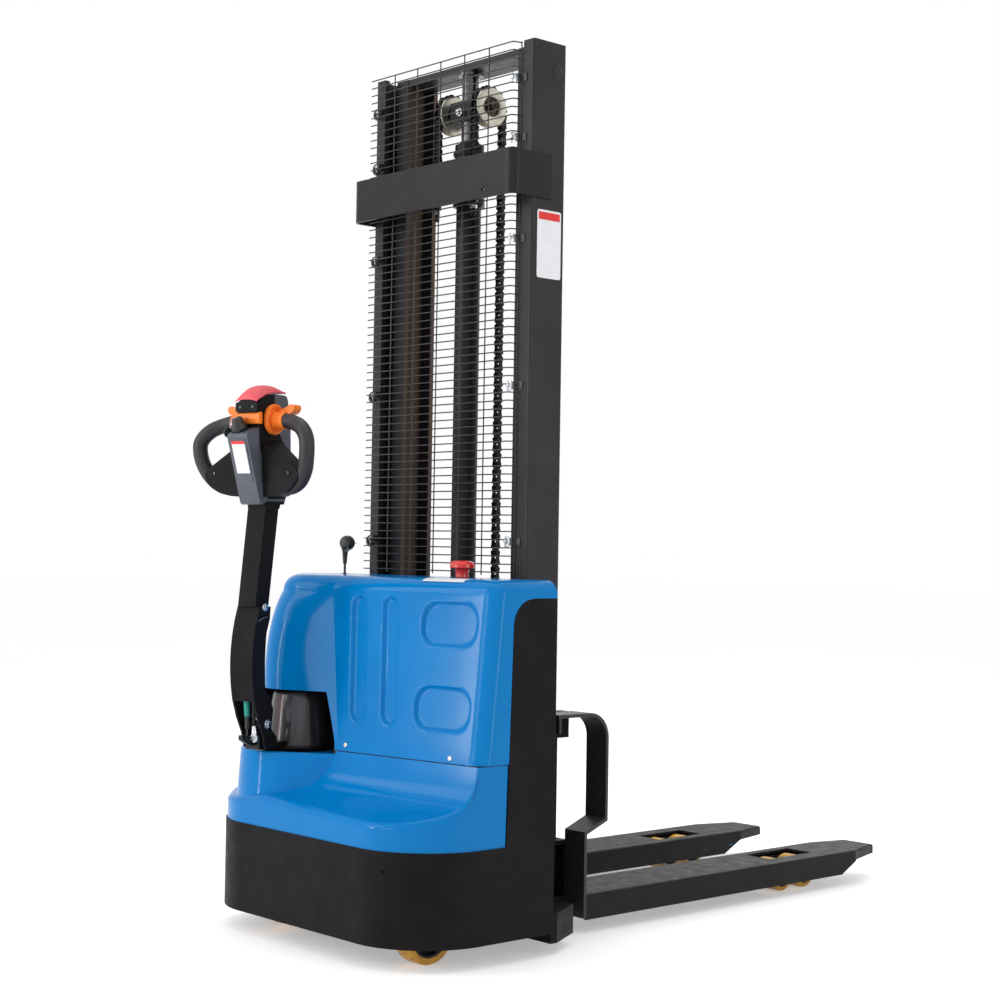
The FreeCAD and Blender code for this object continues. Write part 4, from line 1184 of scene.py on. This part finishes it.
def levers():
    form = Form(in_tiller)
    bar = rounded_polygon([(200, 1141), (207, 1141.5), (211, 1152), (209.5, 1163), (204, 1167.5),
        (200, 1167)], [0, 2, 6, 3, 2, 0], 3)
    across(form, bar, 37, 2.4, 3)
    for side in (-1, 1):
        rings = [(31.5, 161, 1153, 27, 31), (33.5, 161, 1153, 30, 34), (40, 161, 1153, 31, 35),
            (43.5, 161, 1153, 30.2, 34.2), (45, 161, 1153, 28, 32), (44.6, 161, 1153, 25.5, 29.5),
            (41, 161.5, 1152.5, 23.4, 26.5), (39.4, 162, 1152, 21, 23.5), (41, 162, 1151.5, 18.6, 20.4),
            (48, 162, 1151, 17.6, 18.6), (61, 162, 1150.5, 17.8, 18.2), (68, 162, 1150, 19, 19.2),
            (73, 162, 1149.6, 19.4, 19.4), (74.5, 162, 1149.4, 18.4, 18.4)]
        form.take(skinned([oval(side * s, *rest) for s, *rest in rings]))
        blade = [(44, 1153), (46, 1168), (68, 1177.5), (86, 1186), (94.5, 1184.5), (97, 1177),
            (93.5, 1169), (84, 1164), (66, 1160)]
        outline = rounded_polygon(blade, [0, 4, 0, 5, 5, 4, 5, 8, 6], 4)
        form.slab([(side * p.x, 163, p.y) for p in outline], (0, -25, 0), 2.6, 3)
    form.done("thumb_levers", orange, "tiller", "control_orange", ("tiller_controls",))


def loops():
    form = Form(in_tiller)
    for side in (-1, 1):
        route = [(66, 162, 1149.4), (80, 162, 1148), (96, 164, 1144.5), (114, 169, 1139),
            (130, 176, 1131), (143, 182, 1120), (151.5, 186, 1108), (155, 188, 1096),
            (154.5, 187, 1078), (151, 184, 1060), (145, 179, 1043), (135, 174, 1027), (121, 169, 1013),
            (104, 166, 1004), (86, 165, 1000)]
        form.pipe(spline([(side * s, f, z) for s, f, z in route], 5), 17, 28)
    form.done("grip_loops", grip_rubber, "tiller", "grip_rubber", ("tiller_grips",))
    form = Form(in_tiller)
    for side in (-1, 1):
        shape = [(29, 1104), (38, 1095), (83, 1068.5), (126, 1042.5), (136, 1032), (132, 1016),
            (118, 1001.5), (98, 990), (66, 981.5), (29, 979)]
        outline = rounded_polygon(shape, [0, 0, 0, 6, 6, 12, 16, 20, 0, 0], 4)
        front, back = [], []
        for p in outline:
            lift = 9 * step(p.y, 1020, 1050)
            front.append((side * p.x, 193 - 9 * step(-p.y, -1006, -978), p.y))
            back.append((side * p.x, 161 - 30 * step(128 - p.x, 0, 100), p.y + lift))
        part = bmesh.new()
        near, far = [[part.verts.new(p) for p in row] for row in (front, back)]
        part.faces.new(near)
        part.faces.new(far[::-1])
        for i, (n, f) in enumerate(zip(near, far)):
            j = (i + 1) % len(near)
            part.faces.new([n, f, far[j], near[j]])
        form.soften(part, 3, 3)
    form.done("grip_wings", black_case, "tiller")


def key_switch():
    base = Vector((-10, 220.5, 1126))
    aim = Vector((0, 0.37, 0.93)).normalized()
    Form(in_tiller).lathe(base, aim, [(0, 0), (17.6, 0), (18.8, 1.6), (18.8, 11.5), (17.2, 14),
        (13.4, 16), (12.6, 17), (12.6, 26.5), (11.6, 29.2), (9, 30), (0, 30)], 48).done("key_switch",
        cable_black, "tiller")
    form = Form(in_tiller)
    middle = Vector((-27, 231, 1139))
    form.pipe([middle + Vector((5 * aim.x, 3 * aim.x, 9 * aim.y)) for aim in circle(24)], 0.9, 8, True)
    form.done("key_ring", chrome, "tiller")
    form = Form(in_tiller)
    tag = rounded_polygon([(218, 1131), (232, 1132), (241.5, 1122), (234, 1112), (220, 1109),
        (214, 1120)], 3, 3)
    form.slab([(-38.5, p.x, p.y) for p in tag], (-2.6, 0, 0), 0.8, 2)
    form.done("key_tag", tag_grey, "tiller")


console()
head_body()
pad()
levers()
loops()
key_switch()


# ---- bolts and spring of the tiller ----
def tiller_fittings():
    form = Form(in_tiller)
    for way in (-1, 1):
        form.bolt((way * 32, 173, 733.5), (way, 0, 0), 12, 5)
        form.bolt((way * 32, 156, 473), (way, 0, 0), 15, 5)
    form.done("tiller_bolts", zinc, "tiller")
    form = Form(in_tiller)
    for way in (-1, 1):
        form.pipe([(way * 31.6, 194, 703), (way * 31.6, 180, 709), (way * 31.6, 164, 713)], 1.1, 8)
    form.done("shell_lip", worn_steel, "tiller")
    form = Form(in_tiller)
    foot, head = Vector((-8, 176, 462)), Vector((-8, 187, 560))
    aim = head - foot
    form.lathe(foot, aim, [(0, 0), (5.8, 0), (6.4, 1), (6.4, aim.length), (0, aim.length)], 28)
    form.done("spring_body", cable_black, "tiller")
    Form(in_tiller).lathe(foot, aim, [(6.5, 29), (6.8, 29.2), (6.8, 67), (6.5, 67.2)], 28,
        True).done("spring_label", label_teal, "tiller")
    Form(in_tiller).pipe([(12, 176, 452), (12, 186, 560)], 4, 14).done("spring_rod", dark_paint,
        "tiller")
    form = Form(in_tiller)
    form.lathe((12, 170, 443), (0, 1, 0), [(0, 0), (8.5, 0), (10.5, 2), (10.8, 6), (10.5, 10),
        (8.5, 12), (0, 12)], 32)
    form.lathe((12, 176, 443), (0, 0.1, 1), [(6.5, 4), (6.5, 14), (5.2, 19), (5.2, 27), (0, 27)], 20)
    form.bolt((12, 182, 443), (0, 1, 0), 9.5, 5)
    form.done("spring_eye", zinc, "tiller")


def shadow_wall():
    """A black wall inside the window, on the left of the motor: painted shade for the shadowed gap
    there.
    """
    line = [(Vector(steer) + aim * 104, aim) for aim in fan(math.radians(140), math.radians(64), 24)]
    form = Form()
    ribbon(form, line, 434, 575, 2)
    form.done("shadow_wall", black_inside, "chassis")


def cover_sticker():
    """A blank plate wrapped over the front top edge of the upper cover."""
    out = Vector((face_yaw, -1, 0)).normalized()
    rows = []
    for k in range(13):
        x = 178 + 118 * k / 12
        heart = Vector((x, face_line(x, edge_z), edge_z)) - out * edge_radius
        ring = []
        for radius in (34.5, 33.6):
            arc = [heart + (out * aim.x + Vector((0, 0, aim.y))) * radius
                for aim in fan(math.radians(55), math.radians(35), 8)]
            arc.append(arc[-1] - out * 15)
            ring += arc if radius > 34 else arc[::-1]
        rows.append([tuple(p) for p in ring])
    Form().take(skinned(rows)).done("cover_sticker", label_white, "chassis")


tiller_fittings()
shadow_wall()
cover_sticker()


# ---- floor, light and camera ----
def background_rays(tree):
    """1 for the rays that show the background: seen, mirrored or looked through."""
    seen = tree.node("LightPath", {}, "Is Camera Ray")
    for kind in ("Is Glossy Ray", "Is Transmission Ray"):
        pair = {0: seen, 1: tree.node("LightPath", {}, kind)}
        seen = tree.node("Math", pair, "Value", operation="MAXIMUM")
    return seen


def floor():
    form = Form(lambda x, y, z: Vector((x, y, z)))
    form.slab([(-30, -30, -0.02), (30, -30, -0.02), (30, 30, -0.02), (-30, 30, -0.02)], (0, 0, 0.019),
        0)
    pale = Look("floor_pale")
    pale.paint((250, 250, 251))
    pale.paint((245, 245, 247), pale.ramp(pale.noise(0.6, 3), 0.4, 0.7))
    pale.rough(0.6, 0.75)
    pale.shader.inputs["Emission Color"].default_value = (1, 1, 1, 1)
    pale.links.new(pale.ramp(background_rays(pale), 0, 1, 0, 0.36),
        pale.shader.inputs["Emission Strength"])
    form.done("floor", pale, None)


def softbox(name, place, aim, size, power, tint=(1, 1, 1)):
    data = bpy.data.lights.new(name, "AREA")
    data.shape = "RECTANGLE"
    data.size, data.size_y = size
    data.energy = power
    data.color = tint
    obj = bpy.data.objects.new(name, data)
    bpy.context.scene.collection.objects.link(obj)
    obj.location = place
    obj.rotation_euler = (Vector(aim) - Vector(place)).to_track_quat("-Z", "Y").to_euler()


def studio():
    world = bpy.data.worlds.new("studio")
    world.use_nodes = True
    tree = Tree(world.node_tree)
    ground = tree.nodes["Background"]
    ground.inputs["Color"].default_value = (1, 1, 1, 1)
    tree.links.new(tree.ramp(background_rays(tree), 0, 1, 0.6, 1), ground.inputs["Strength"])
    bpy.context.scene.world = world
    softbox("key_light", (-2.6, -4.2, 3.6), (0, 0, 0.7), (1.6, 2.6), 40)
    softbox("front_light", (-0.4, -5.2, 1.8), (0, 0, 0.7), (1.7, 2.2), 42)
    softbox("left_strip", (-2.05, -4.45, 1.2), (0, 0, 0.9), (0.2, 2.6), 32)
    softbox("right_strip", (4.6, 0.4, 1.5), (0, 0, 0.9), (0.3, 2.8), 32)
    softbox("top_light", (0, 0, 5.2), (0, 0, 0), (4, 4), 60)
    softbox("back_light", (-2, 4.6, 3), (0, 0, 0.9), (2, 2.4), 25)
    bpy.context.scene.view_settings.view_transform = "Standard"


def camera():
    """Stands where the picture was taken from."""
    data = bpy.data.cameras.new("camera")
    data.lens = 65.51
    data.sensor_width = 36
    data.shift_y = 0.0018
    data.clip_end = 100
    obj = bpy.data.objects.new("camera", data)
    bpy.context.scene.collection.objects.link(obj)
    yaw, pitch, roll = math.radians(47.9094), math.radians(1.3911), math.radians(0.8936)
    ahead = Vector((-math.sin(yaw) * math.cos(pitch), math.cos(yaw) * math.cos(pitch), math.sin(pitch)))
    right = Vector((math.cos(yaw), math.sin(yaw), 0))
    above = right.cross(ahead)
    x_axis = math.cos(roll) * right + math.sin(roll) * above
    y_axis = math.cos(roll) * above - math.sin(roll) * right
    pose = Matrix((x_axis, y_axis, -ahead)).transposed().to_4x4()
    pose.translation = at(3232.9, -2731.4, 878.4)
    obj.matrix_world = pose
    bpy.context.scene.camera = obj


floor()
studio()
camera()
